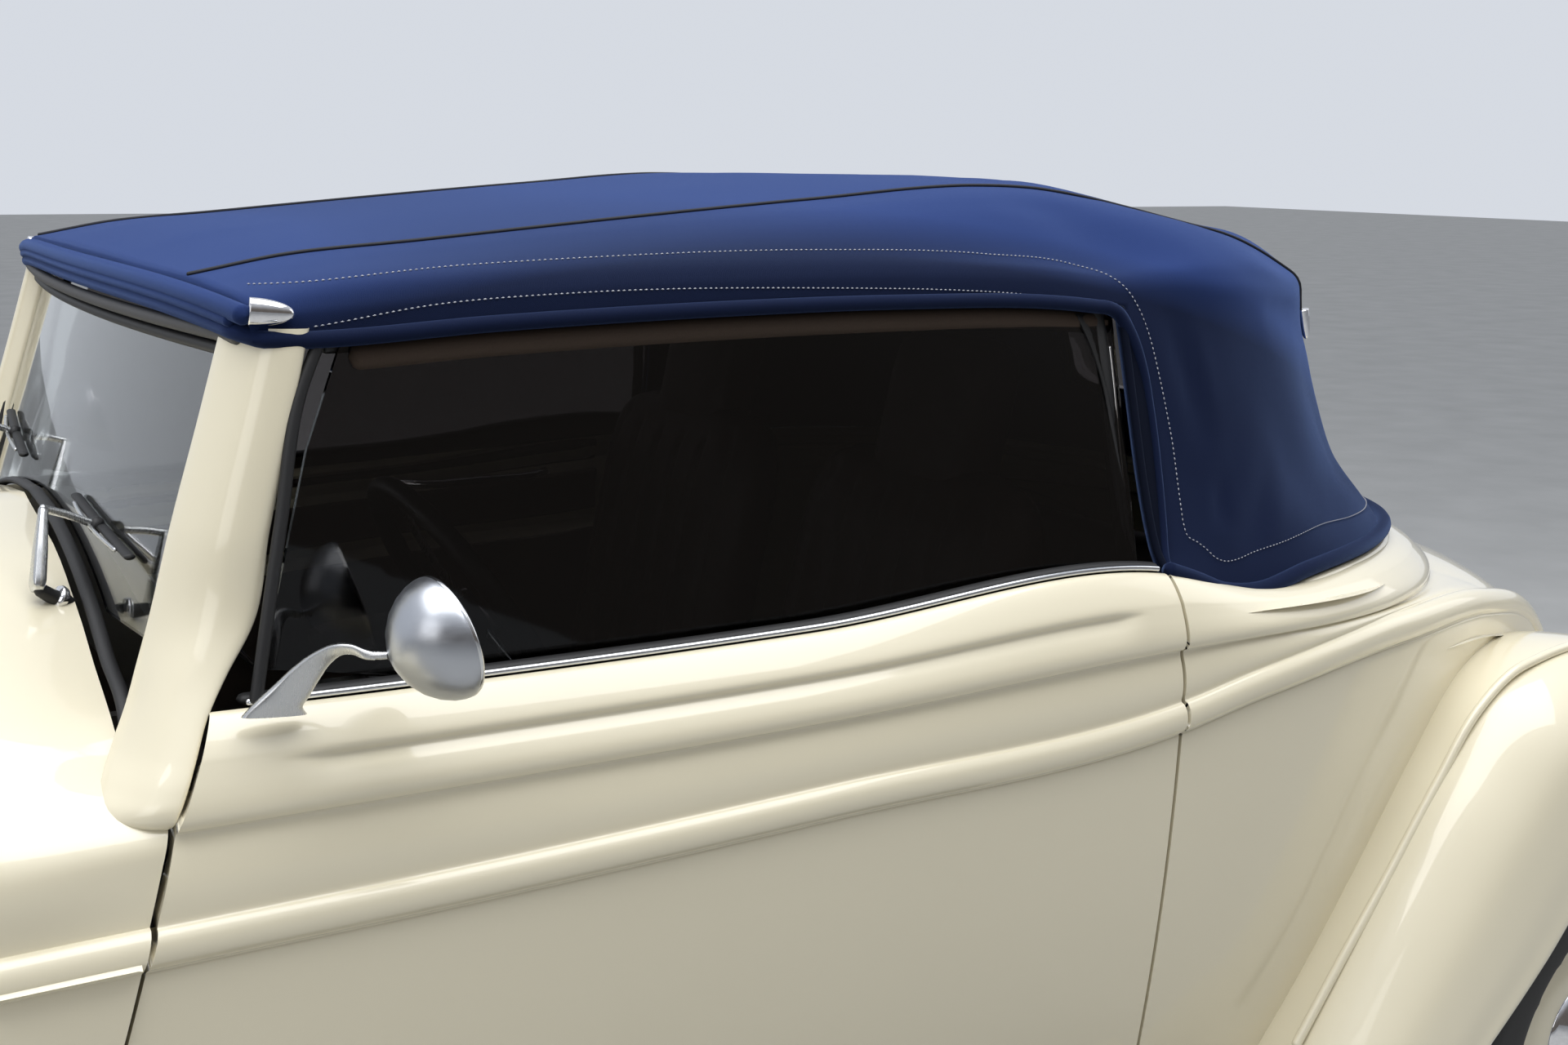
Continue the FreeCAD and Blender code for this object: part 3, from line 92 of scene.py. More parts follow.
def paintMaterial(name, color):
    # gloss paint: base colour varied a little by a wide noise, orange peel and clear coat on top
    material, tree, shader = newMaterial(name)
    coord = addNode(tree, "ShaderNodeTexCoord")
    _, mix = cloud(tree, coord, color, 0.97, 1.03, Scale=1.4, Detail=2.0)
    peel = addNode(tree, "ShaderNodeTexNoise", {"Scale": 160.0, "Detail": 1.0})
    link(coord, "Object", peel, "Vector")
    link(mix, "Color", shader, "Base Color")
    addBump(tree, peel, "Fac", shader, 0.012, entry="Coat Normal")
    setInputs(shader, {"Roughness": 0.32, "Coat Weight": 1.0, "Coat Roughness": 0.03})
    return material


def plainMaterial(name, color, roughness, metallic=0.0, grain=0.0, scale=200.0):
    material, tree, shader = newMaterial(name)
    noise, mix = cloud(tree, addNode(tree, "ShaderNodeTexCoord"), color, 0.85, 1.15, Scale=scale, Detail=3.0)
    link(mix, "Color", shader, "Base Color")
    if grain:
        addBump(tree, noise, "Fac", shader, grain)
    setInputs(shader, {"Roughness": roughness, "Metallic": metallic})
    return material


def glassMaterial(name, color):
    material, _, shader = newMaterial(name)
    setInputs(shader, {"Base Color": (*color, 1), "Transmission Weight": 1.0, "Roughness": 0.02, "IOR": 1.45})
    return material


def clothMaterial(name, color, sheen=0.36, paintedTopLight=4.2):
    # twill: a fine wave and a fibre noise move the surface, a wide noise varies the colour, and the upper side is
    # painted lighter, a painted highlight of the sky on the roof: the distance from a lengthwise arc's centre (-0.1,
    # -0.6) passes 2.035 m at the roof's side and 2.085 m at its crown
    material, tree, shader = newMaterial(name)
    coord = addNode(tree, "ShaderNodeTexCoord")
    _, mix = cloud(tree, coord, color, 0.88, 1.14, Scale=7.0, Detail=4.0)
    # painted highlight: the upper side's share, from the distance to a lengthwise arc's centre, mixes in a lighter
    # shade
    arc = addNode(tree, "ShaderNodeVectorMath", {1: (1, 0, 1), 2: (0.1, 0, 0.6)}, operation="MULTIPLY_ADD")
    far = addNode(tree, "ShaderNodeVectorMath", operation="LENGTH")
    height = addNode(tree, "ShaderNodeMapRange", {"From Min": 2.035, "From Max": 2.085, "To Min": 0.0, "To Max": 1.0})
    paintedLitTop = addNode(tree, "ShaderNodeMixRGB", {"Color2": shadeOf(color, paintedTopLight)})
    link(coord, "Object", arc, 0)
    link(arc, "Vector", far, 0)
    link(far, "Value", height, "Value")
    link(height, "Result", paintedLitTop, "Fac")
    link(mix, "Color", paintedLitTop, "Color1")
    link(paintedLitTop, "Color", shader, "Base Color")
    weave = addNode(tree, "ShaderNodeTexWave", {"Scale": 420.0, "Distortion": 0.4}, wave_type="BANDS",
                    bands_direction="DIAGONAL")
    fibre = addNode(tree, "ShaderNodeTexNoise", {"Scale": 1500.0, "Detail": 2.0})
    blend = addNode(tree, "ShaderNodeMath", {1: 0.5}, operation="MULTIPLY_ADD")
    link(coord, "Object", weave, "Vector")
    link(coord, "Object", fibre, "Vector")
    link(weave, "Fac", blend, 0)
    link(fibre, "Fac", blend, 2)
    addBump(tree, blend, "Value", shader, 0.35, 0.0006)
    setInputs(shader, {"Roughness": 0.9, "Specular IOR Level": 0.12, "Sheen Weight": sheen, "Sheen Roughness": 0.36,
                       "Sheen Tint": (0.30, 0.46, 0.95, 1)})
    return material


def satinMaterial(name, color, roughness, stretch):
    # brushed metal: noise drawn out along one axis moves roughness and surface
    material, tree, shader = newMaterial(name)
    coord = addNode(tree, "ShaderNodeTexCoord")
    mapping = addNode(tree, "ShaderNodeMapping", {"Scale": stretch})
    noise = addNode(tree, "ShaderNodeTexNoise", {"Scale": 1.0, "Detail": 4.0})
    span = addNode(tree, "ShaderNodeMapRange", {"To Min": roughness - 0.06, "To Max": roughness + 0.10})
    link(coord, "Object", mapping, "Vector")
    link(mapping, "Vector", noise, "Vector")
    link(noise, "Fac", span, "Value")
    link(span, "Result", shader, "Roughness")
    addBump(tree, noise, "Fac", shader, 0.06, 0.0004)
    setInputs(shader, {"Base Color": (*color, 1), "Metallic": 1.0})
    return material


def leatherMaterial(name, dark, light):
    # fine cells as grain, a wide noise varies the colour
    material, tree, shader = newMaterial(name)
    coord = addNode(tree, "ShaderNodeTexCoord")
    cell = addNode(tree, "ShaderNodeTexVoronoi", {"Scale": 420.0})
    wide = addNode(tree, "ShaderNodeTexNoise", {"Scale": 9.0, "Detail": 3.0})
    mix = addNode(tree, "ShaderNodeMixRGB", {"Color1": (*dark, 1), "Color2": (*light, 1)})
    link(coord, "Object", cell, "Vector")
    link(coord, "Object", wide, "Vector")
    link(wide, "Fac", mix, "Fac")
    link(mix, "Color", shader, "Base Color")
    addBump(tree, cell, "Distance", shader, 0.25, 0.0006)
    shader.inputs["Roughness"].default_value = 0.42
    return material


creamPaint = paintMaterial("creamPaint", (0.76, 0.70, 0.53))
materials = {
    "cream_paint": creamPaint,
    # navy cloth; its upper side is painted lighter by the default factor, a painted highlight
    "top_cloth": clothMaterial("navyCloth", (0.0040, 0.0085, 0.031)),
    "clear_glass": glassMaterial("clearGlass", (0.8, 0.84, 0.83)),
    "dark_glass": glassMaterial("darkGlass", (0.16, 0.15, 0.15)),
    "bright_chrome": plainMaterial("brightChrome", (0.8, 0.8, 0.82), 0.06, 1.0),
    "brushed_alu": plainMaterial("brushedAluminium", (0.62, 0.62, 0.63), 0.3, 1.0),
    "frame_black": plainMaterial("frameBlack", (0.02, 0.02, 0.02), 0.4),
    "floor_black": plainMaterial("floorBlack", (0.03, 0.03, 0.03), 0.7),
    "tyre_rubber": plainMaterial("tyreRubber", (0.025, 0.025, 0.025), 0.75),
    "cast_metal": plainMaterial("castMetal", (0.2, 0.2, 0.2), 0.6, 0.8),
    "seat_leather": plainMaterial("seatLeather", (0.10, 0.08, 0.07), 0.5, grain=0.2),
    "dash_plastic": plainMaterial("dashTrim", (0.05, 0.045, 0.04), 0.35),
    "wheel_plastic": plainMaterial("wheelRim", (0.02, 0.02, 0.02), 0.4),
    "lamp_red": glassMaterial("redLens", (0.5, 0.02, 0.02)),
    "exhaust_steel": plainMaterial("exhaustSteel", (0.4, 0.4, 0.41), 0.3, 1.0),
}
slotOf = {part["node"]: part["material_slot"] for part in frame["record"]["subparts"]}
for name, obj in nodes.items():
    obj.data.materials.clear()
    obj.data.materials.append(materials[slotOf[name]])
# darker copy of the navy cloth with little sheen: painted shade on the drop's turned front edge and its roll
shadedFacingCloth = clothMaterial("shadedFacingCloth", (0.0022, 0.0042, 0.0125), 0.06, 1.0)
piping = plainMaterial("blackPiping", (0.004, 0.005, 0.010), 0.7)
thread = plainMaterial("paleThread", (0.42, 0.43, 0.47), 0.8)
greyStrip = plainMaterial("greyRubber", (0.055, 0.055, 0.058), 0.6)
leather = leatherMaterial("cabinLeather", (0.080, 0.058, 0.046), (0.120, 0.090, 0.072))
dialFace = plainMaterial("dialFace", (0.012, 0.012, 0.013), 0.4)
ivory = plainMaterial("dialMarks", (0.75, 0.72, 0.62), 0.5)
carpet = plainMaterial("carpet", (0.035, 0.030, 0.027), 0.95, grain=0.9, scale=900)
satin = satinMaterial("satinAluminium", (0.50, 0.52, 0.56), 0.30, (40, 260, 260))
brushed = satinMaterial("brushedArm", (0.60, 0.61, 0.62), 0.26, (500, 30, 30))
rubber = plainMaterial("blackRubber", (0.010, 0.010, 0.011), 0.55, grain=0.1, scale=600)
strip = plainMaterial("brightStrip", (0.72, 0.73, 0.74), 0.14, 1.0)
painted, clothed = ("cream_paint", creamPaint), ("top_cloth", materials["top_cloth"])
chromed, trimmed = ("bright_chrome", materials["bright_chrome"]), ("bright_chrome", strip)
alloyed, brushedMetal = ("brushed_alu", materials["brushed_alu"]), ("brushed_alu", brushed)
blackened, rubbered = ("frame_black", materials["frame_black"]), ("frame_black", rubber)
gripped, covered = ("wheel_plastic", materials["wheel_plastic"]), ("seat_leather", leather)
print("materials", len(materials))


def carry(knots, table, at):
    # Smooth values between table rows. With t = (at - k0) / (k1 - k0) each column is the cubic
    # h00(t) v0 + h10(t) d m0 + h01(t) v1 + h11(t) d m1, whose slopes m are the mean of both neighbours' slopes.
    knots, table, at = np.asarray(knots, float), np.asarray(table, float), np.asarray(at, float)
    step = np.diff(knots)
    slope = np.diff(table, axis=0) / step[:, None]
    weight = step[1:] / (step[1:] + step[:-1])
    middle = slope[:-1] * weight[:, None] + slope[1:] * (1 - weight)[:, None]
    slopes = np.vstack([slope[:1], middle, slope[-1:]])
    flat = np.clip(at.ravel(), knots[0], knots[-1])
    i = np.clip(np.searchsorted(knots, flat, side="right") - 1, 0, len(step) - 1)
    d = step[i]
    t = ((flat - knots[i]) / d)[:, None]
    d = d[:, None]
    value = ((2 * t**3 - 3 * t**2 + 1) * table[i] + (t**3 - 2 * t**2 + t) * d * slopes[i]
             + (-2 * t**3 + 3 * t**2) * table[i + 1] + (t**3 - t**2) * d * slopes[i + 1])
    return value.reshape(at.shape + (table.shape[1],))


def smoothStep(t):
    # 3 t^2 - 2 t^3, held at 0 and 1 outside.
    t = np.clip(t, 0, 1)
    return t * t * (3 - 2 * t)


def addMesh(name, points, faces, body, slotName, material, smooth=True):
    mesh = bpy.data.meshes.new(name)
    mesh.from_pydata(np.asarray(points, float).reshape(-1, 3), [], np.asarray(faces).tolist())
    mesh.update()
    if smooth:
        mesh.polygons.foreach_set("use_smooth", np.ones(len(mesh.polygons), bool))
    obj = bpy.data.objects.new(name, mesh)
    scene.collection.objects.link(obj)
    mesh.materials.append(material)
    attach(obj, body)
    return obj


def gridFaces(rows, columns, wrapRows=False, wrapColumns=False, start=0):
    # Quads (i, j), (i + 1, j), (i + 1, j + 1), (i, j + 1) of a grid whose point i, j is number i * columns + j.
    i = np.arange(rows if wrapRows else rows - 1)
    j = np.arange(columns if wrapColumns else columns - 1)
    i, j = np.meshgrid(i, j, indexing="ij")
    i2, j2 = (i + 1) % rows, (j + 1) % columns
    quads = np.stack([i * columns + j, i2 * columns + j, i2 * columns + j2, i * columns + j2], -1)
    return quads.reshape(-1, 4) + start


def addGrid(name, grid, body, slotName, material, mask=None, mirror=False, inside=None, **wraps):
    # a sheet through grid[i, j]; mirror gives the other side of the car; its faces turn away from the point inside
    rows, columns = grid.shape[:2]
    faces = gridFaces(rows, columns, **wraps)
    if mask is not None:
        faces = faces[mask.reshape(-1)]
    points = grid.reshape(-1, 3)
    if inside is not None:
        corner = points[faces]
        across = np.cross(corner[:, 2] - corner[:, 0], corner[:, 3] - corner[:, 1])
        if np.sum(across * (corner.mean(1) - np.array(inside))) < 0:
            faces = faces[:, ::-1]
    if mirror:
        points, faces = points * [1, -1, 1], faces[:, ::-1]
    return addMesh(name, points, faces, body, slotName, material)


def fromLeft(half):
    # a line or sheet of the left half carried on over the right one, starting at the left
    return np.concatenate([half, (half * [1, -1, 1])[::-1][1:]])


def fromRight(half):
    # the same for a half that starts at the middle: from the right end over the middle to the left end
    return np.concatenate([(half * [1, -1, 1])[::-1], half[1:]])


def weld(obj, distance=0.0002):
    work = bmesh.new()
    work.from_mesh(obj.data)
    bmesh.ops.remove_doubles(work, verts=work.verts, dist=distance)
    bmesh.ops.dissolve_degenerate(work, edges=work.edges, dist=1e-6)
    loose = [v for v in work.verts if not v.link_faces]
    bmesh.ops.delete(work, geom=loose, context="VERTS")
    work.to_mesh(obj.data)
    work.free()
    obj.data.update()
    return obj


def thicken(obj, depth, edge=0.0, offset=-1.0, segments=2):
    solid = obj.modifiers.new("thickness", "SOLIDIFY")
    solid.thickness, solid.offset = depth, offset
    if edge:
        bevel = obj.modifiers.new("edge", "BEVEL")
        bevel.width, bevel.segments, bevel.limit_method = edge, segments, "ANGLE"
        bevel.angle_limit = math.radians(55)
        bevel.harden_normals = True
    return obj


def profileWeights(count, samples):
    # Rows of weights of a Catmull-Rom line: point(v) = sum of weight[v, k] * control[k], v from 0 to count - 1.
    v = np.asarray(samples, float)
    i = np.clip(np.floor(v).astype(int), 0, count - 2)
    t = v - i
    w = np.zeros((len(v), count))
    four = [-0.5 * t**3 + t**2 - 0.5 * t, 1.5 * t**3 - 2.5 * t**2 + 1, -1.5 * t**3 + 2 * t**2 + 0.5 * t,
            0.5 * t**3 - 0.5 * t**2]
    row = np.arange(len(v))
    for shift, part in zip((-1, 0, 1, 2), four):
        np.add.at(w, (row, np.clip(i + shift, 0, count - 1)), part)
    return w


def unit(vectors, small=0.0):
    return vectors / (np.linalg.norm(vectors, axis=-1, keepdims=True) + small)


def runOf(points):
    # length of the line up to each of its points
    return np.concatenate([[0], np.cumsum(np.linalg.norm(np.diff(points, axis=0), axis=1))])


def frames(path, closed=False, up=(0, 0, 1)):
    # unit tangent, side and top directions along a path: side = tangent x up, top = side x tangent
    path = np.asarray(path, float)
    ahead = np.roll(path, -1, 0) - np.roll(path, 1, 0) if closed else np.gradient(path, axis=0)
    tangent = unit(ahead)
    side = unit(np.cross(tangent, np.asarray(up, float)), 1e-12)
    return tangent, side, np.cross(side, tangent)


def tubeGrid(path, radius, around=14, closed=False, up=(0, 0, 1), squash=1.0, roundEnds=True):
    # Circle of that radius carried along the path: p(i, a) = path + r (cos a side + squash sin a top).
    # Open ends get two shrinking rings so that they close in a dome.
    path = np.asarray(path, float)
    radius = np.broadcast_to(np.asarray(radius, float), (len(path),)).copy()
    tangent, side, top = frames(path, closed, up)
    if not closed and roundEnds:
        reach = np.array([0.0, 0.35, 0.7, 0.92, 1.0])
        shrink = np.sqrt(1 - (1 - reach) ** 2) + 1e-4
        first = path[0] - tangent[0] * radius[0] * (1 - reach)[:-1, None]
        last = path[-1] + tangent[-1] * radius[-1] * (1 - reach)[:-1, None][::-1]
        path = np.vstack([first, path, last])
        radius = np.concatenate([radius[0] * shrink[:-1], radius, radius[-1] * shrink[:-1][::-1]])
        rep = lambda a: np.vstack([np.repeat(a[:1], 4, 0), a, np.repeat(a[-1:], 4, 0)])
        side, top = rep(side), rep(top)
    a = np.linspace(0, 2 * np.pi, around, endpoint=False)
    ring = np.cos(a)[None, :, None] * side[:, None] + squash * np.sin(a)[None, :, None] * top[:, None]
    return path[:, None] + radius[:, None, None] * ring


def addTube(name, path, radius, body, slotName, material, mirror=False, closed=False, **options):
    grid = tubeGrid(path, radius, closed=closed, **options)
    return addGrid(name, grid, body, slotName, material, mirror=mirror, wrapRows=closed, wrapColumns=True)


def along(points, count):
    # Points spaced evenly along a smooth line through the given ones.
    points = np.asarray(points, float)
    run = runOf(points)
    fine = carry(run, points, np.linspace(0, run[-1], count * 6))
    run = runOf(fine)
    even = np.linspace(0, run[-1], count)
    return np.stack([np.interp(even, run, fine[:, k]) for k in range(fine.shape[1])], -1)


body = {
    "fanX": -0.680,      # upright axis that the tail is built around
    "fanRadius": 0.75,   # station length of one radian past it
    "bottom": 0.370,
    "gap": 0.005,
    "beadHalf": 0.019,
    "beadStand": 0.012,
    "doorRear": -0.568,
    "doorLow": 0.412,
    "cowlFront": 0.680,
    "rake": 0.15,        # lean of the gap between cowl and hood
}
fanStart = -body["fanX"]
centre = fanStart + 1.178   # station of the middle line at the tail, a quarter turn past the axis
wallKnots = np.array([-0.86, -0.64, -0.30, 0.10, 0.56, fanStart + 0.026, fanStart + 0.288, fanStart + 0.524,
                      fanStart + 0.694, fanStart + 0.864, fanStart + 1.021, centre])
# sill half-width, height, crease half-width, height, bead half-width, height, bottom half-width (metres)
wallTable = np.array([
    (0.600, 1.046, 0.640, 0.950, 0.650, 0.840, 0.612),
    (0.615, 1.046, 0.660, 0.953, 0.667, 0.851, 0.620),
    (0.647, 1.048, 0.689, 0.961, 0.695, 0.866, 0.638),
    (0.678, 1.056, 0.718, 0.972, 0.721, 0.887, 0.655),
    (0.692, 1.072, 0.731, 0.990, 0.731, 0.909, 0.666),
    (0.689, 1.038, 0.736, 0.993, 0.736, 0.938, 0.668),
    (0.688, 1.035, 0.742, 0.987, 0.755, 0.960, 0.692),
    (0.687, 1.029, 0.748, 0.980, 0.822, 0.951, 0.738),
    (0.686, 1.022, 0.752, 0.974, 0.908, 0.895, 0.800),
    (0.685, 1.015, 0.754, 0.969, 1.040, 0.745, 0.920),
    (0.684, 1.009, 0.755, 0.966, 1.170, 0.600, 1.080),
    (0.684, 1.006, 0.755, 0.965, 1.225, 0.545, 1.150),
])


def stationPoint(s, h, z):
    # Station s and half-width h to a point: up to the fan axis x = -s and y = h; past it the plane turns by
    # phi = (s + fanX) / fanRadius, so x = fanX - h sin phi and y = h cos phi.
    phi = np.maximum(s + body["fanX"], 0) / body["fanRadius"]
    x = np.where(phi > 0, body["fanX"] - h * np.sin(phi), -s)
    return np.stack([x, h * np.cos(phi), z + 0 * h], -1)


def wallProfile(s, flute=1.0):
    # Control points (half-width, height) of the side at stations s, from sill to bottom. Each is a share along a
    # chord plus a stand-off along its outward normal.
    row = carry(wallKnots, wallTable, s)
    sill, crease = row[..., 0:2], row[..., 2:4]
    bead, low = row[..., 4:6], np.stack([row[..., 6], np.full(row.shape[:-1], body["bottom"])], -1)

    def chord(a, b):
        d = b - a
        length = np.linalg.norm(d, axis=-1, keepdims=True)
        d = d / length
        return d, np.stack([-d[..., 1], d[..., 0]], -1), length
    d1, n1, l1 = chord(sill, crease)
    d2, n2, l2 = chord(crease, bead)
    phi = np.maximum(s + body["fanX"], 0) / body["fanRadius"]
    fl = (flute * smoothStep((0.445 + s) / 0.05) * smoothStep((0.508 - s) / 0.04))[..., None]
    fade = (1 - 0.75 * smoothStep((phi - 0.5) / 0.9))[..., None]
    swell = 0.18 * np.maximum(l2 - 0.12, 0)
    points = []
    top = ((0.0, 0.0, 0), (0.05, 5.0, 0), (0.16, 9.0, 0), (0.30, 12.0, 0), (0.42, 13.5, 0), (0.485, 13.4, -1.4),
           (0.535, 13.2, -7.2), (0.60, 12.8, -6.0), (0.70, 12.0, -3.0), (0.82, 10.2, -0.8), (0.91, 7.4, 0),
           (0.965, 3.6, 0), (1.0, -2.2, 0))
    for share, out, dent in top:
        points.append(sill + d1 * l1 * share + n1 * (out + dent * fl) * 0.001 * (0.55 + 0.45 * fade))
    half = body["beadHalf"]
    for share, out in ((0.05, -6.4), (0.16, -6.0), (0.32, -2.6), (0.52, 0.4), (0.70, 1.6), (0.86, 1.2)):
        bulge = 4 * share * (1 - share)
        room = l2 - half
        points.append(crease + d2 * room * share + n2 * (out * 0.001 * fade + swell * bulge))
    lowOut = np.stack([np.ones_like(bead[..., 0]), np.zeros_like(bead[..., 0])], -1)
    stand = body["beadStand"]
    nb = unit(n2 * 0.5 + lowOut * 0.5)
    db = np.stack([nb[..., 1], -nb[..., 0]], -1)
    for a, out in ((-1.0, 0.0), (-0.86, 0.42), (-0.5, 0.86), (0.0, 1.0), (0.5, 0.86), (0.86, 0.42), (1.0, 0.0),
                   (1.12, -0.14), (1.3, -0.10)):
        points.append(bead + db * half * a + nb * stand * out)
    foot = points[-1]
    for share in (0.04, 0.12, 0.25, 0.4, 0.55, 0.7, 0.85, 1.0):
        middle = foot * (1 - share) + low * share
        points.append(middle + lowOut * 0.011 * 4 * share * (1 - share))
    return np.stack(points, -2)


profileCount = 36
# finer samples where the mouldings are
profileSamples = np.concatenate([np.linspace(0, 12, 49)[:-1], np.linspace(12, 18, 19)[:-1],
                                 np.linspace(18, 27, 37)[:-1], np.linspace(27, 35, 22)])
profileMix = profileWeights(profileCount, profileSamples)


def wallGrid(s, flute=1.0):
    # Points of the side for stations s[i, j], row i across the car and column j down the profile.
    controls = wallProfile(s, flute)
    hz = np.einsum("jk,ijkc->ijc", profileMix, controls)
    return stationPoint(s, hz[..., 0], hz[..., 1])


def gapLine(table, z):
    table = np.asarray(table, float)
    order = np.argsort(table[:, 1])
    return np.interp(z, table[order, 1], table[order, 0])


doorFront = [(0.4775, 1.10), (0.482, 1.080), (0.509, 1.020), (0.536, 0.960), (0.563, 0.865), (0.590, 0.770),
             (0.614, 0.685), (0.636, 0.600), (0.650, 0.535), (0.660, 0.470), (0.664, 0.412), (0.664, 0.36)]


def doorGrid(rows):
    # The side between the upright rear gap and the raked front gap; each row's end is found by repeating
    # s = -front(z(s)) until it settles.
    share = np.linspace(0, 1, rows)[:, None] * np.ones((1, len(profileSamples)))
    rear = -(body["doorRear"] + body["gap"] / 2)
    front = np.full(share.shape, -0.55)
    for _ in range(5):
        s = rear + (front - rear) * share
        grid = wallGrid(s)
        front = -gapLine(doorFront, grid[-1:, :, 2]) * np.ones_like(share)
    return grid


def trimBelow(grid, level):
    # Moves the columns past the level up to it, so that the sheet ends in a straight edge there.
    z = grid[..., 2]
    clipped = grid.copy()
    for j in range(1, grid.shape[1]):
        below = z[:, j] < level
        ratio = np.clip((z[:, j - 1] - level) / np.maximum(z[:, j - 1] - z[:, j], 1e-6), 0, 1)[:, None]
        move = clipped[:, j - 1] + (grid[:, j] - grid[:, j - 1]) * ratio
        clipped[:, j] = np.where(below[:, None], np.where((z[:, j - 1] > level)[:, None], move, clipped[:, j - 1]),
                                 grid[:, j])
    return clipped


doorSkin = trimBelow(doorGrid(80), body["doorLow"])
for side, flip in sides:
    skin = addGrid(f"door_skin_{side}", doorSkin, f"door_{side}", *painted, mirror=flip, inside=(0, 0, 0.7))
    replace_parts(thicken(weld(skin), 0.036, 0.0022), f"door_{side}")
print("doors")


lid = {"half": 0.385, "front": -1.505, "low": 0.520, "gap": 0.005}
rearWheel = {"x": -1.330, "z": 0.345, "space": 0.405}


def archFloor(x, y):
    # lowest body point over the rear wheel: z = zw + sqrt(R^2 - (x - xw)^2), only outside of y = 0.42
    reach = np.clip(rearWheel["space"] ** 2 - (x - rearWheel["x"]) ** 2, 0, None)
    arch = np.maximum(rearWheel["z"] + np.sqrt(reach) + 0.012, body["bottom"])
    return body["bottom"] + (arch - body["bottom"]) * smoothStep((abs(y) - 0.42) / 0.10)


def wallAt(s, v, flute=0.0):
    # half-width and height at stations s and profile places v, both of any shape: sum of weight[v, k] * control[k](s)
    s, v = np.broadcast_arrays(np.asarray(s, float), np.asarray(v, float))
    controls = wallProfile(s.ravel(), flute)
    mix = profileWeights(profileCount, v.ravel())
    return np.einsum("nk,nkc->nc", mix, controls).reshape(s.shape + (2,))


def crossing(y, h):
    # station past the axis at which a line of half-width h meets the upright plane y: cos(phi) = y / h
    return fanStart + body["fanRadius"] * np.arccos(np.clip(y / h, -1, 1))


def sliceStations(y, v):
    # station where the wall at profile place v crosses the upright plane y, repeated because h = h(s, v)
    y, v = np.broadcast_arrays(np.asarray(y, float), np.asarray(v, float))
    s = np.full(y.shape, 1.8)
    for _ in range(7):
        s = crossing(y, wallAt(s, v)[..., 0])
    return s


def lidEdges(y, front, low):
    # profile places where the slice at y crosses the lid's front and lower edge
    v = np.linspace(12.5, 24.5, 121)
    tops, lows = [], []
    for value in np.atleast_1d(y):
        s = sliceStations(value, v)
        hz = wallAt(s, v)
        x = stationPoint(s, hz[:, 0], hz[:, 1])[:, 0]
        tops.append(np.interp(-front, -x, v))
        lows.append(np.interp(-low, -hz[:, 1], v))
    return np.array(tops), np.array(lows)


half = lid["gap"] / 2
start = -(body["doorRear"] - body["gap"] / 2)
sideRows, backRows = 70, 28
sliceY = np.linspace(lid["half"] + half, 0, backRows)
topV, lowV = lidEdges(sliceY, lid["front"] + half, lid["low"] - half)
j0 = int(np.searchsorted(profileSamples, 27))
columnTop, columnLow = (int(np.argmin(abs(profileSamples - place))) for place in (14.6, 20.0))


def warp(top, low):
    # profile places of one row, moved so that columnTop and columnLow lie at top and low
    return np.interp(np.arange(len(profileSamples)), [0, 48, columnTop, columnLow, j0, len(profileSamples) - 1],
                     [0, 12, top, low, 27, 35])


share = np.linspace(0, 1, sideRows)
ease = smoothStep((share - 0.35) / 0.65)
sideV = np.stack([warp(14.6 + (topV[0] - 14.6) * e, 20.0 + (lowV[0] - 20.0) * e) for e in ease])
sideS = start + share[:, None] * (sliceStations(lid["half"] + half, sideV) - start)
backV = np.stack([warp(a, b) for a, b in zip(topV, lowV)])
backS = sliceStations(sliceY[:, None], backV)
placeV, placeS = np.vstack([sideV, backV[1:]]), np.vstack([sideS, backS[1:]])
hz = wallAt(placeS, placeV)
grid = stationPoint(placeS, hz[..., 0], hz[..., 1])
for i in range(len(grid)):
    source = grid[i, j0:].copy()
    top = grid[i, j0 - 1, 2]
    floorZ = archFloor(source[-1, 0], source[-1, 1])
    part = (top - source[:, 2]) / max(top - source[-1, 2], 1e-4)
    target = top - part * max(top - floorZ, 0.02)
    for axis in (0, 1):
        grid[i, j0:, axis] = np.interp(-target, -source[:, 2], source[:, axis])
    grid[i, j0:, 2] = target
full = fromLeft(grid)
keepMask = np.ones((len(full) - 1, full.shape[1] - 1), bool)
keepMask[sideRows - 1:len(full) - sideRows, columnTop:columnLow] = False
tailSkin = addGrid("tail_skin", full, "chassis", *painted, mask=keepMask, inside=(-0.7, 0, 0.7))
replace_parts(thicken(weld(tailSkin), 0.030, 0.0022), "quarter_left", "quarter_right", "tail_panel")

lidY = np.linspace(lid["half"] - half, 0, 30)
lidTop, lidLow = lidEdges(lidY, lid["front"] - half, lid["low"] + half)
lidV = lidTop[:, None] + (lidLow - lidTop)[:, None] * np.linspace(0, 1, 80)
lidS = sliceStations(lidY[:, None], lidV)
hz = wallAt(lidS, lidV)
lidHalf = stationPoint(lidS, hz[..., 0], hz[..., 1])
lidFull = fromLeft(lidHalf)
lidSkin = addGrid("deck_lid_skin", lidFull, "deck_lid", *painted, inside=(-0.7, 0, 0.5))
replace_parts(thicken(weld(lidSkin), 0.026, 0.0022), "deck_lid")
print("tail")


# flapStart is the station of the flap's front edge, seamY where the seams run down the back, bow the header's bow
cloth = {"thick": 0.012, "flapStart": 0.5605, "seamY": 0.424, "bow": 0.030, "bowHalf": 0.53, "place": 0.085}
clothKnots = np.array([-0.470, -0.390, -0.210, 0.05, 0.25, 0.474, 0.560, fanStart, fanStart + 0.393,
                       fanStart + 0.785, centre])
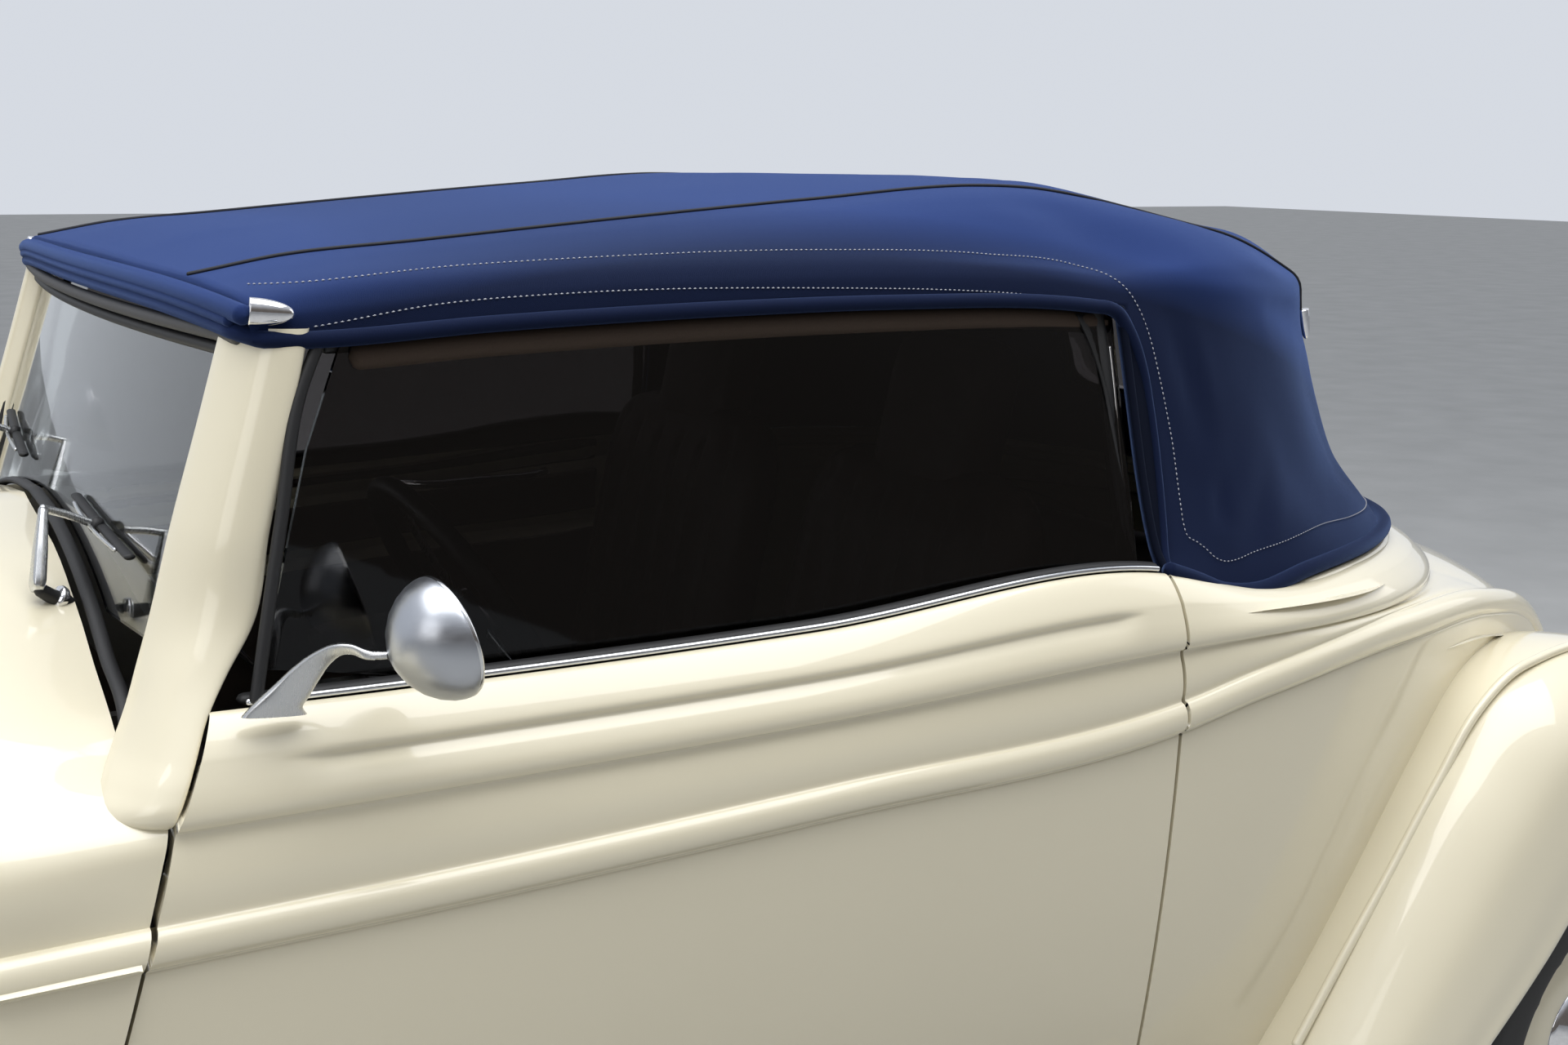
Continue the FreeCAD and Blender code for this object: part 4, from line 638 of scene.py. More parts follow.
# lower edge (half-width, height), corner, side seam, outer roof, crown height; past the axis these are radii
clothTable = np.array([
    (0.588, 1.368, 0.553, 1.406, 0.420, 1.4165, 0.210, 1.4205, 1.4225),
    (0.597, 1.370, 0.562, 1.418, 0.420, 1.431, 0.210, 1.440, 1.443),
    (0.601, 1.378, 0.564, 1.428, 0.420, 1.447, 0.210, 1.455, 1.457),
    (0.603, 1.384, 0.565, 1.437, 0.420, 1.470, 0.210, 1.479, 1.481),
    (0.603, 1.384, 0.564, 1.438, 0.420, 1.486, 0.210, 1.496, 1.498),
    (0.602, 1.376, 0.562, 1.426, 0.420, 1.501, 0.210, 1.507, 1.5085),
    (0.601, 1.366, 0.560, 1.416, 0.420, 1.4985, 0.210, 1.506, 1.508),
    (0.598, 1.352, 0.572, 1.425, 0.418, 1.483, 0.210, 1.504, 1.508),
    (0.563, 1.340, 0.534, 1.398, 0.398, 1.450, 0.200, 1.496, 1.508),
    (0.532, 1.330, 0.512, 1.395, 0.388, 1.448, 0.190, 1.496, 1.508),
    (0.508, 1.325, 0.480, 1.390, 0.358, 1.450, 0.180, 1.495, 1.508),
])
# below the lower edge: (half-width, height) at three more levels down to the hem
flapKnots = np.array([0.545, 0.62, 0.66, 0.70, 0.83, fanStart + 0.393, fanStart + 0.785, centre])
flapTable = np.array([
    (0.6235, 1.270, 0.6460, 1.170, 0.6660, 1.100, 0.6850, 1.079),
    (0.6210, 1.260, 0.6440, 1.160, 0.6660, 1.092, 0.6850, 1.053),
    (0.6195, 1.2575, 0.6430, 1.155, 0.6665, 1.084, 0.6855, 1.037),
    (0.6180, 1.255, 0.6420, 1.150, 0.6670, 1.077, 0.6860, 1.031),
    (0.6120, 1.250, 0.6380, 1.146, 0.6660, 1.080, 0.6865, 1.044),
    (0.5840, 1.245, 0.6190, 1.140, 0.6600, 1.078, 0.6820, 1.046),
    (0.5460, 1.262, 0.5830, 1.150, 0.6460, 1.066, 0.6780, 1.030),
    (0.5190, 1.245, 0.5640, 1.125, 0.6350, 1.054, 0.6880, 1.016),
])


def clothControls(stations):
    # (half-width, height) of the twelve guide lines from the hem up to the middle of the roof
    row, up = carry(flapKnots, flapTable, stations), carry(clothKnots, clothTable, stations)
    low, corner, seam, outer = (up[:, k:k + 2] for k in (0, 2, 4, 6))
    zero = np.stack([0 * up[:, 0], up[:, 8]], -1)
    bend = (low + corner) / 2 + np.array([0.009, 0.007])
    turn = (corner + seam) / 2 + np.array([0.010, 0.012]) * smoothStep((seam[:, 1] - corner[:, 1]) / 0.07)[:, None]
    half = (outer + zero) / 2 + np.array([0.0, 0.0008])
    return np.stack([row[:, k:k + 2] for k in (6, 4, 2, 0)] + [low, bend, corner, turn, seam, outer, half, zero], 1)


# soft folds of the cloth: from (station, place) to (station, place), width and depth; a place is about 85 mm
folds = [((0.640, 3.9), (0.675, 2.7), 0.016, 0.0034), ((0.697, 2.05), (0.690, 1.55), 0.011, 0.0030),
         ((0.90, 4.05), (1.20, 3.7), 0.022, 0.0030), ((0.80, 3.2), (0.97, 1.4), 0.050, 0.0034),
         ((0.64, 6.5), (0.96, 4.7), 0.050, 0.0030), ((1.05, 3.1), (1.20, 1.3), 0.035, 0.0026),
         ((-0.43, 8.6), (-0.28, 9.4), 0.030, 0.0014), ((0.50, 7.2), (0.66, 6.0), 0.030, 0.0022),
         ((0.74, 1.2), (0.80, 2.1), 0.020, 0.0020)]


def foldDepth(s, v):
    # each fold presses in by depth exp(-(d / w)^2) and stands up beside it, d the distance to its line
    at, total = np.stack([s, cloth["place"] * v], -1), np.zeros(s.shape)
    for begin, end, wide, depth in folds:
        a, b = np.array(begin) * [1, cloth["place"]], np.array(end) * [1, cloth["place"]]
        share = np.clip(((at - a) @ (b - a)) / ((b - a) @ (b - a)), 0, 1)
        d = np.linalg.norm(at - a - share[..., None] * (b - a), axis=-1)
        ends = 0.35 + 0.65 * np.sin(np.pi * np.clip(share, 0.02, 0.98))
        total += depth * ends * (0.55 * np.exp(-((d - 1.9 * wide) / wide) ** 2) - np.exp(-(d / wide) ** 2))
    return total


def clothAt(stations, v, lift=0.0):
    # point of the cloth at stations s and places v (0 hem, 4 lower roof edge, 6 corner, 8 seam, 11 middle); the front
    # edge follows the bowed header: x = -s - 0.03 (y / 0.53)^2 fading out behind it
    s, v = np.broadcast_arrays(np.asarray(stations, float), np.asarray(v, float))
    mix = profileWeights(12, v.ravel())
    controls = clothControls(s.ravel())
    hz = np.einsum("nk,nkc->nc", mix, controls).reshape(s.shape + (2,))
    lift = lift + foldDepth(s, v)
    ahead, back = (profileWeights(12, np.clip(v.ravel() + step, 0, 11)) for step in (0.05, -0.05))
    run = unit(np.einsum("nk,nkc->nc", ahead - back, controls).reshape(s.shape + (2,)), 1e-9)
    hz = hz + lift[..., None] * np.stack([run[..., 1], -run[..., 0]], -1)
    points = stationPoint(s, hz[..., 0], hz[..., 1])
    fade = smoothStep((-0.20 - s) / 0.26)
    points[..., 0] -= cloth["bow"] * (points[..., 1] / cloth["bowHalf"]) ** 2 * fade
    return points


def clothPlace(stations, z):
    # place v below the roof's seam at which each station's line has height z
    v = np.linspace(0, 8, 161)
    found = []
    for s, level in zip(stations, z):
        hz = np.einsum("nk,kc->nc", profileWeights(12, v), clothControls(np.array([s]))[0])
        found.append(np.interp(level, hz[:, 1], v))
    return np.array(found)


def roofGrid(stations, samples=46):
    return clothAt(stations[:, None], np.linspace(4, 11, samples)[None])


def flapStationsAt(stations, v):
    # the front edge leans back towards the hem: s + 0.017 (1 - v / 4), fading out within 0.1 m behind it
    return stations + 0.017 * (1 - v / 4) * (1 - smoothStep((stations - cloth["flapStart"]) / 0.1))


def flapGrid(stations, samples=30):
    v = np.linspace(0, 4, samples)[None]
    return clothAt(flapStationsAt(stations[:, None], v), v)


roofStations = np.concatenate([np.linspace(-0.470, 0.56, 90)[:-1], np.linspace(0.56, centre, 90)])
flapStations = np.linspace(0.56, centre, 90)
roof, flap = roofGrid(roofStations), flapGrid(np.maximum(flapStations, cloth["flapStart"]))


def joinGrids(name, parts, rides, slotName, material, both=False):
    # One mesh out of several grids, with the other side's mirror image if both.
    points, faces, start = [], [], 0
    for part in parts:
        for flip in ((False, True) if both else (False,)):
            found = gridFaces(part.shape[0], part.shape[1], start=start)
            points.append(part.reshape(-1, 3) * ([1, -1, 1] if flip else [1, 1, 1]))
            faces.append(found[:, ::-1] if flip else found)
            start += part.shape[0] * part.shape[1]
    return addMesh(name, np.vstack(points), np.vstack(faces), rides, slotName, material)


softTop = joinGrids("fabric_top", [roof, flap], "chassis", "top_cloth", materials["top_cloth"], both=True)
weld(softTop, 0.0004)
thicken(softTop, cloth["thick"])
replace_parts(softTop, "soft_top")

# rolled edges: the drop behind the door, the hem, and the double roll over the header that turns along the sides; the
# side roll thins by edgeThin on its way down the drop
radii = {"drop": 0.0048, "hem": 0.0100, "header": 0.0095, "edge": 0.0082, "edgeThin": 0.0034, "binding": 0.0060,
         "rearBand": 0.0055, "seam": 0.0021, "bow": 0.0075, "moulding": 0.0088}
dropEdge = flapGrid(np.array([cloth["flapStart"]]), 40)[0][::-1]
hemStations = np.linspace(cloth["flapStart"], centre, 90)
hemEdge = clothAt(flapStationsAt(hemStations, 0.0), 0.0, 0.0040)
hemPath = fromLeft(hemEdge) + [0, 0, 0.002]
for side, flip in sides:
    # the drop roll takes the darker cloth copy: painted shade
    addTube(f"drop_roll_{side}", along(dropEdge, 50), radii["drop"], "chassis", "top_cloth", shadedFacingCloth,
                         mirror=flip, up=(1, 0, 0))
addTube("hem_roll", hemPath, radii["hem"], "chassis", *clothed)
# line of the drop's rolled edge as (station, height) read off the photograph; in front of it lies a facing in a
# darker copy of the cloth, which is painted shade
foldLine = along([(0.538, 1.3687), (0.551, 1.3640), (0.569, 1.340), (0.585, 1.296), (0.591, 1.248),
                  (0.593, 1.200), (0.592, 1.150), (0.588, 1.110), (0.581, 1.076)], 60)
foldV = clothPlace(foldLine[:, 0], foldLine[:, 1])
fold = clothAt(foldLine[:, 0], foldV, 0.0010)
use = foldV < 3.95
frontS = flapStationsAt(np.full(use.sum(), 0.5600), foldV[use])
across = np.linspace(0, 1, 6)[None]
facingS = frontS[:, None] + (foldLine[use, 0] - frontS)[:, None] * across
facingGrid = clothAt(facingS, foldV[use][:, None], 0.0012)
for side, flip in sides:
    # the facing's darker cloth is painted shade
    addGrid(f"drop_facing_{side}", facingGrid, "chassis", "top_cloth", shadedFacingCloth, mirror=flip,
                         inside=(-0.6, 0, 1.2))


def bowAt(y):
    # how far header and screen bow ahead: 0.03 (1 - (y / 0.53)^2)
    return cloth["bow"] * (1 - (y / cloth["bowHalf"]) ** 2)


def headerLine(y, ahead, z0):
    # along the bowed header: x = ahead + bow, z falls to the side with the roof
    z = z0 - 0.010 * (np.abs(y) / 0.56) ** 4 - 0.004 * (y / cloth["bowHalf"]) ** 2
    return np.stack([ahead + bowAt(y), y, z], -1)


headerY = np.linspace(0, 0.583, 50)
upper = headerLine(headerY, 0.4465, 1.4095)
upperPath = fromRight(upper)
addTube("header_roll_upper", upperPath, radii["header"], "chassis", *clothed)
lower = headerLine(np.linspace(0, 0.555, 40), 0.4455, 1.3905)
sideStations = np.linspace(-0.395, 0.528, 58)
sideLine = clothAt(sideStations, 4.0)
turnPoints = np.array([(0.4335, 0.572, 1.3735), (0.4235, 0.585, 1.3705), (0.409, 0.5895, 1.3695)])
lowerHalf = along(np.vstack([lower, turnPoints, sideLine, fold]), 260)
lowerPath = fromRight(lowerHalf)
rollRadius = radii["edge"] - radii["edgeThin"] * smoothStep((1.372 - lowerPath[:, 2]) / 0.12)
addTube("edge_roll", lowerPath, rollRadius, "chassis", *clothed, up=(1, 1, 1))
lip = headerLine(np.linspace(0, 0.56, 40), 0.4495, 1.4005)
lipPath = fromRight(lip)
addTube("header_binding", lipPath, radii["binding"], "chassis", *clothed)
rear = clothAt(np.linspace(1.30, centre, 40), 3.75, 0.001)
rearPath = fromLeft(rear)
addTube("rear_band_roll", rearPath, radii["rearBand"], "chassis", *clothed)

# black piping of the two lengthwise seams: straight at y = 0.42 over the roof, then down the back in the same plane
overRoof = clothAt(np.linspace(-0.466, 0.60, 80), 8.0, 0.0012)
backV = np.linspace(8.0, 0.35, 60)
backS = np.full(backV.shape, 1.2)
for _ in range(8):
    h = np.einsum("nk,nkc->nc", profileWeights(12, backV), clothControls(backS))[:, 0]
    backS = crossing(cloth["seamY"], h)
downBack = clothAt(backS, backV, 0.0012)[4:32]
for side, flip in sides:
    seam = along(np.vstack([overRoof, downBack]), 170)
    addTube(f"roof_seam_{side}", seam, radii["seam"], "chassis", "top_cloth", piping, mirror=flip,
                         around=8)


def stitchRow(path, pitch=0.0060, length=0.0042, radius=0.00085):
    # slim eight-sided grains, one each pitch along the path: tip, ring of four, tip
    path = along(path, 400)
    run = runOf(path)
    middles = np.arange(pitch, run[-1] - pitch, pitch)
    at = lambda t: np.stack([np.interp(t, run, path[:, k]) for k in range(3)], -1)
    centreOf, ahead = at(middles), unit(at(middles + length / 2) - at(middles - length / 2))
    sideways = unit(np.cross(ahead, [0.3, 0.2, 1.0]))
    topward = np.cross(sideways, ahead)
    six = np.stack([centreOf - ahead * length / 2, centreOf + sideways * radius, centreOf + topward * radius,
                    centreOf - sideways * radius, centreOf - topward * radius, centreOf + ahead * length / 2], 1)
    tri = np.array([(0, 2, 1), (0, 3, 2), (0, 4, 3), (0, 1, 4), (5, 1, 2), (5, 2, 3), (5, 3, 4), (5, 4, 1)])
    return six.reshape(-1, 3), (tri[None] + 6 * np.arange(len(six))[:, None, None]).reshape(-1, 3)


def stitches(name, paths, rides, slotName, material):
    points, faces, start = [], [], 0
    for path in paths:
        for flip in (1, -1):
            p, f = stitchRow(path)
            points.append(p * [1, flip, 1])
            faces.append(f + start)
            start += len(p)
    return addMesh(name, np.vstack(points), np.vstack(faces), rides, slotName, material)


# stitch lines as (station, height) pairs read off the photograph
upperStitch = np.array([
    (-0.448, 1.414), (-0.321, 1.424), (-0.111, 1.434), (0.172, 1.438), (0.387, 1.430), (0.510, 1.416),
    (0.560, 1.399), (0.576, 1.384), (0.590, 1.362), (0.601, 1.331), (0.608, 1.298), (0.616, 1.250),
    (0.621, 1.213), (0.623, 1.160), (0.623, 1.125), (0.624, 1.106), (0.631, 1.098), (0.642, 1.094),
    (0.653, 1.085), (0.664, 1.075), (0.680, 1.069), (0.700, 1.069), (0.735, 1.074), (0.782, 1.078),
    (0.919, 1.087), (1.030, 1.081), (1.108, 1.077), (1.271, 1.068), (1.45, 1.060), (1.858, 1.050)])
lowerStitch = np.array([(-0.418, 1.380), (-0.286, 1.396), (-0.12, 1.404), (0.16, 1.401), (0.374, 1.391),
                        (0.545, 1.374)])
paths = []
for table in (upperStitch, lowerStitch):
    line = along(table, 160)
    paths.append(clothAt(line[:, 0], clothPlace(line[:, 0], line[:, 1]), 0.0009))
stitches("top_stitches", paths, "chassis", "top_cloth", thread)
# bows and side rails that carry the cloth
carriers = []
for k, station in enumerate((-0.250, 0.120, 0.500)):
    half = clothAt(np.full(40, station), np.linspace(4.9, 11, 40), -0.0205)
    bow = addTube(f"top_bow_{k}", fromLeft(half), radii["bow"], "chassis", *blackened, up=(1, 0, 0), squash=2.1)
    carriers.append(bow)
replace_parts(carriers[0], "top_frame")


def bullet(name, base, tip, high, deep, mirror):
    # polished end cap of a roll, from base to tip: r(t) = r0 sqrt(1 - t^2.4)
    base, tip = np.array(base), np.array(tip)
    t = np.concatenate([[0.0, 0.0], np.linspace(0.02, 1, 22)])
    size = np.sqrt(np.clip(1 - t ** 2.4, 0, 1)) + 1e-3
    size[0] = 0.001
    a = np.linspace(0, 2 * np.pi, 24, endpoint=False)
    ahead = unit(tip - base)
    out = unit(np.cross(ahead, [0, 0, 1]))
    rise = np.cross(out, ahead)
    ring = np.cos(a)[:, None] * out * deep + np.sin(a)[:, None] * rise * high
    grid = (base + (tip - base) * t[:, None])[:, None] + size[:, None, None] * ring[None]
    return addGrid(name, grid, "chassis", *chromed, mirror=mirror, wrapColumns=True)


def addBox(name, centreAt, axes, sizes, rides, slotName, material, mirror=False, edge=0.0):
    # box of three half sizes along three unit axes
    axes, sizes = np.array(axes, float), np.array(sizes, float)
    signs = np.array([(x, y, z) for x in (-1, 1) for y in (-1, 1) for z in (-1, 1)])
    points = np.array(centreAt) + (signs * sizes) @ axes
    faces = np.array([(0, 1, 3, 2), (4, 6, 7, 5), (0, 4, 5, 1), (2, 3, 7, 6), (0, 2, 6, 4), (1, 5, 7, 3)])
    if mirror:
        points, faces = points * [1, -1, 1], faces[:, ::-1]
    obj = addMesh(name, points, faces, rides, slotName, material, smooth=bool(edge))
    if edge:
        bevel = obj.modifiers.new("edge", "BEVEL")
        bevel.width, bevel.segments = edge, 3
        bevel.harden_normals = True
    return obj


def lathe(name, profile, centreAt, axis, rides, slotName, material, steps=64, mirror=False):
    # profile of (distance along the axis, radius) turned round it; open at both ends unless the radius falls to 0
    axis = unit(np.array(axis, float))
    seed = np.array([0, 0, 1.0]) if abs(axis[2]) < 0.9 else np.array([1.0, 0, 0])
    u = unit(np.cross(seed, axis))
    w = np.cross(axis, u)
    a = np.linspace(0, 2 * np.pi, steps, endpoint=False)
    profile = np.array(profile, float)
    ring = np.cos(a)[:, None] * u + np.sin(a)[:, None] * w
    grid = np.array(centreAt) + profile[:, :1, None] * axis + np.maximum(profile[:, 1:, None], 1e-5) * ring[None]
    return addGrid(name, grid, rides, slotName, material, mirror=mirror, wrapColumns=True)


identity = np.eye(3)
for side, flip in sides:
    addBox(f"top_rail_{side}", (-0.105, 0.563, 1.376), identity, (0.435, 0.006, 0.009), "chassis", *blackened,
           mirror=flip, edge=0.002)
for side, flip in sides:
    bullet(f"header_cap_{side}", (0.4360, 0.5905, 1.3965), (0.3960, 0.5945, 1.3925), 0.0124, 0.0080, flip)
    lathe(f"header_cap_screw_{side}", [(0, 0.0042), (0.0012, 0.0042), (0.0018, 0.0036), (0.0018, 0)],
          (0.4206, 0.5972, 1.3950), (0.12, 1, 0.1), "chassis", *chromed, steps=24, mirror=flip)
    for k, turn in enumerate((0.35, 0.35 + math.pi / 2)):
        addBox(f"header_cap_slot_{side}_{k}", (0.4206, 0.5988, 1.3952),
               [(math.cos(turn), 0, math.sin(turn)), (0, 1, 0), (-math.sin(turn), 0, math.cos(turn))],
               (0.0029, 0.0004, 0.0006), "chassis", *blackened, mirror=flip)
    spot = clothAt(backS[[31, 35]], backV[[31, 35]], 0.0045)
    bullet(f"rear_cap_{side}", spot[0], spot[1], 0.0085, 0.0070, flip)

# cream moulding that the hem sits in, following it round the tail
mouldStations = np.linspace(0.5712, centre, 100)
hem = clothControls(mouldStations)[:, 0]
mould = stationPoint(mouldStations, hem[:, 0] + 0.0045, hem[:, 1] - 0.0165)
mouldPath = fromLeft(mould)
addTube("hem_moulding", mouldPath, radii["moulding"], "chassis", *painted)
print("fabric top")


screen = {"slope": 0.324, "foot": 0.536, "footZ": 1.022, "half": 0.5235, "head": 1.3545,
          "footRubber": 0.0075, "sideRubber": 0.0055, "headRubber": 0.0065, "weatherstrip": 0.0070}


def screenX(z, y, ahead=0.0):
    # the pane leans back by the slope and bows ahead: x = foot - slope (z - footZ) + bow
    return screen["foot"] - (z - screen["footZ"]) * screen["slope"] + bowAt(y) + ahead


def rakeX(z, x, slope):
    # a gap that leans by the slope round its place at the height 0.960
    return x + slope * (0.960 - z)


cowlKnots = np.array([0.44, 0.56, 0.68, 0.80])
cowlTable = np.array([
    # nine (half-width, height) pairs above the bead, from the side to the middle line
    (0.668, 0.918, 0.664, 0.950, 0.628, 0.975, 0.578, 0.996, 0.522, 1.022, 0.440, 1.052, 0.346, 1.085, 0.200, 1.122,
     0.0, 1.145),
    (0.664, 0.915, 0.657, 0.948, 0.622, 0.972, 0.572, 0.993, 0.517, 1.020, 0.436, 1.051, 0.343, 1.085, 0.200, 1.123,
     0.0, 1.146),
    (0.660, 0.910, 0.650, 0.944, 0.616, 0.972, 0.570, 1.000, 0.512, 1.030, 0.438, 1.060, 0.340, 1.093, 0.190, 1.130,
     0.0, 1.150),
    (0.642, 0.902, 0.632, 0.938, 0.600, 0.968, 0.552, 0.998, 0.488, 1.028, 0.415, 1.055, 0.320, 1.085, 0.180, 1.122,
     0.0, 1.143),
])


def cowlSection(x):
    wall = carry(wallKnots, wallTable, -x)
    upper = carry(cowlKnots, cowlTable, x)
    pairs = upper.reshape(upper.shape[:-1] + (9, 2))
    bead, lowH = wall[..., 4:6], wall[..., 6]
    n = np.array([0.97, 0.24])
    d = np.array([0.24, -0.97])
    stand = [(1.15, -0.10), (1.0, 0.0), (0.86, 0.42), (0.5, 0.86), (0.0, 1.0), (-0.5, 0.86), (-0.86, 0.42),
             (-1.0, 0.0), (-1.2, -0.05)]
    bottom = np.stack([lowH, np.full(lowH.shape, body["bottom"])], -1)
    foot = bead + d * body["beadHalf"] * 1.3
    lower = [bottom * (1 - t) + foot * t + np.array([0.011 * 4 * t * (1 - t), 0]) for t in (0, 0.2, 0.45, 0.7, 0.9)]
    ring = [bead + d * body["beadHalf"] * a + n * body["beadStand"] * o for a, o in stand]
    return np.concatenate([np.stack(lower + ring, -2), pairs], -2)


cowlRear = [(0.669, 0.36), (0.669, 0.412), (0.665, 0.470), (0.655, 0.535), (0.641, 0.600), (0.619, 0.685),
            (0.595, 0.770), (0.568, 0.865), (0.541, 0.960), (0.514, 1.020), (0.487, 1.080), (0.470, 1.180)]
cowlRows = 40
cowlMix = profileWeights(23, np.concatenate([np.linspace(0, 4, 13)[:-1], np.linspace(4, 14, 41)[:-1],
                                             np.linspace(14, 22, 33)]))
share = np.linspace(0, 1, cowlRows)[:, None] * np.ones((1, len(cowlMix)))
x = np.full(share.shape, 0.6)
for _ in range(5):
    hz = np.einsum("jk,ijkc->ijc", cowlMix, cowlSection(x))
    # inside the posts the sheet ends at the pane's foot
    foot = screenX(hz[..., 1], hz[..., 0], 0.022)
    rearX = gapLine(cowlRear, hz[..., 1])
    rearX = rearX + (foot - rearX) * smoothStep((0.60 - hz[..., 0]) / 0.06)
    frontX = rakeX(hz[..., 1], body["cowlFront"] - body["gap"] / 2, body["rake"])
    x = rearX + (frontX - rearX) * share
cowlHalf = np.stack([x, hz[..., 0], hz[..., 1]], -1)[::-1]
cowlFull = np.concatenate([cowlHalf, (cowlHalf * [1, -1, 1])[:, ::-1][:, 1:]], 1)
cowlSkin = addGrid("cowl_skin", cowlFull, "chassis", *painted, inside=(0.5, 0, 0.6))
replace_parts(thicken(weld(cowlSkin), 0.016, 0.002), "cowl")

# post: height, rear edge (x, y), front edge (x, y), bulge
postTable = np.array([
    (0.950, 0.548, 0.648, 0.578, 0.628, 0.002),
    (0.957, 0.5395, 0.6585, 0.5885, 0.627, 0.006),
    (0.968, 0.5345, 0.6625, 0.5920, 0.615, 0.010),
    (0.985, 0.5265, 0.6590, 0.5850, 0.590, 0.014),
    (1.010, 0.5150, 0.6480, 0.5680, 0.560, 0.017),
    (1.040, 0.5010, 0.6330, 0.5510, 0.5425, 0.019),
    (1.075, 0.4780, 0.6180, 0.5385, 0.5370, 0.020),
    (1.110, 0.4530, 0.6080, 0.5270, 0.5350, 0.020),
    (1.200, 0.4300, 0.6030, 0.5010, 0.5325, 0.020),
    (1.295, 0.4060, 0.6000, 0.4710, 0.5300, 0.019),
    (1.380, 0.3850, 0.5970, 0.4450, 0.5275, 0.018),
])
level = np.concatenate([np.linspace(0.950, 1.08, 40)[:-1], np.linspace(1.08, 1.380, 40)])
row = carry(postTable[:, 0], postTable[:, 1:], level)
rearEdge, frontEdge, bulge = row[:, 0:2], row[:, 2:4], row[:, 4:5]
chordLine = frontEdge - rearEdge
normal = -unit(np.stack([-chordLine[:, 1], chordLine[:, 0]], -1))
normal = np.where(normal[:, 1:2] < 0, -normal, normal)
# across the post: shares of the chord from the rear to the front edge, and of the bulge
arch = [(0.08, 0.5), (0.3, 1.0), (0.55, 0.95), (0.80, 0.62), (0.95, 0.25)]
ring = [rearEdge + [0.012, -0.040], rearEdge + [0.000, -0.012], rearEdge]
ring += [rearEdge + chordLine * share + normal * bulge * out for share, out in arch]
ring += [frontEdge, frontEdge + [-0.006, -0.008], frontEdge + [-0.030, -0.016]]
controls = np.stack(ring, 1)
closed = np.concatenate([controls[:, -1:], controls, controls[:, :2]], 1)
mix = profileWeights(closed.shape[1], np.linspace(1, closed.shape[1] - 2, 66)[:-1])
xy = np.einsum("jk,ikc->ijc", mix, closed)
post = np.concatenate([xy, np.repeat(level[:, None, None], xy.shape[1], 1)], -1)
posts = []
for side, flip in sides:
    posts.append(addGrid(f"screen_post_{side}", post, "chassis", *painted, mirror=flip, wrapColumns=True))
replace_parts(posts[0], "windscreen_frame")
print("cowl and posts")


fenderRows = {
    "front": np.array([
        (2.050, 0.300, -4, 0.520, 0.060, 0.690, 0.808, 0.078),
        (1.992, 0.532, 27, 0.498, 0.066, 0.702, 0.848, 0.092),
        (1.810, 0.710, 60, 0.480, 0.060, 0.706, 0.862, 0.096),
        (1.560, 0.778, 85, 0.466, 0.054, 0.706, 0.866, 0.098),
        (1.330, 0.748, 108, 0.470, 0.052, 0.706, 0.866, 0.098),
        (1.120, 0.636, 126, 0.500, 0.046, 0.710, 0.866, 0.084),
        (0.960, 0.486, 133, 0.560, 0.030, 0.716, 0.864, 0.058),
        (0.850, 0.374, 126, 0.600, 0.014, 0.724, 0.862, 0.034),
        (0.748, 0.316, 100, 0.626, 0.005, 0.736, 0.862, 0.017)]),
    "rear": np.array([
        (-0.708, 0.296, 30, 0.600, 0.016, 0.736, 0.850, 0.092),
        (-0.770, 0.406, 33, 0.600, 0.018, 0.736, 0.853, 0.126),
        (-0.850, 0.530, 35, 0.600, 0.020, 0.736, 0.857, 0.168),
        (-0.930, 0.650, 36, 0.600, 0.020, 0.737, 0.860, 0.196),
        (-1.020, 0.776, 42, 0.580, 0.024, 0.737, 0.860, 0.210),
        (-1.110, 0.868, 58, 0.560, 0.026, 0.737, 0.860, 0.216),
        (-1.250, 0.905, 82, 0.540, 0.034, 0.730, 0.860, 0.214),
        (-1.420, 0.880, 102, 0.480, 0.052, 0.712, 0.860, 0.196),
        (-1.620, 0.786, 120, 0.400, 0.096, 0.680, 0.852, 0.176),
        (-1.800, 0.640, 136, 0.340, 0.130, 0.640, 0.836, 0.160),
        (-1.930, 0.470, 151, 0.340, 0.130, 0.610, 0.812, 0.140),
        (-1.996, 0.320, 163, 0.380, 0.100, 0.600, 0.790, 0.110)]),
}


def fenderGrid(table, rows, share):
    # Crown line carried smoothly by its length; across it the profile falls by d inwards and outwards, measured
    # along the tilted normal n: p = (x - nx d, y, z - nz d).
    run = runOf(table[:, :2])
    r = carry(run, table, np.linspace(0, run[-1], rows))
    x, z, tilt, yIn, dIn, yTop, yOut, dOut = r.T
    tilt = np.radians(tilt)
    pairs = [(yIn, dIn), (yIn * 0.5 + yTop * 0.5, dIn * 0.25), (yTop, 0 * x),
             (yTop + (yOut - yTop) * 0.45, dOut * 0.085), (yTop + (yOut - yTop) * share, dOut * 0.30),
             (yTop + (yOut - yTop) * 0.96, dOut * 0.62), (yOut, dOut * 0.86), (yOut + 0.002, dOut * 0.95),
             (yOut - 0.002, dOut), (yOut - 0.010, dOut * 0.99), (yOut - 0.014, dOut * 0.95)]
    controls = np.stack([np.stack(p, -1) for p in pairs], 1)
    mix = profileWeights(11, np.concatenate([np.linspace(0, 6, 37)[:-1], np.linspace(6, 10, 21)]))
    yd = np.einsum("jk,ikc->ijc", mix, controls)
    return np.stack([x[:, None] - np.cos(tilt)[:, None] * yd[..., 1], yd[..., 0],
                     z[:, None] - np.sin(tilt)[:, None] * yd[..., 1]], -1)


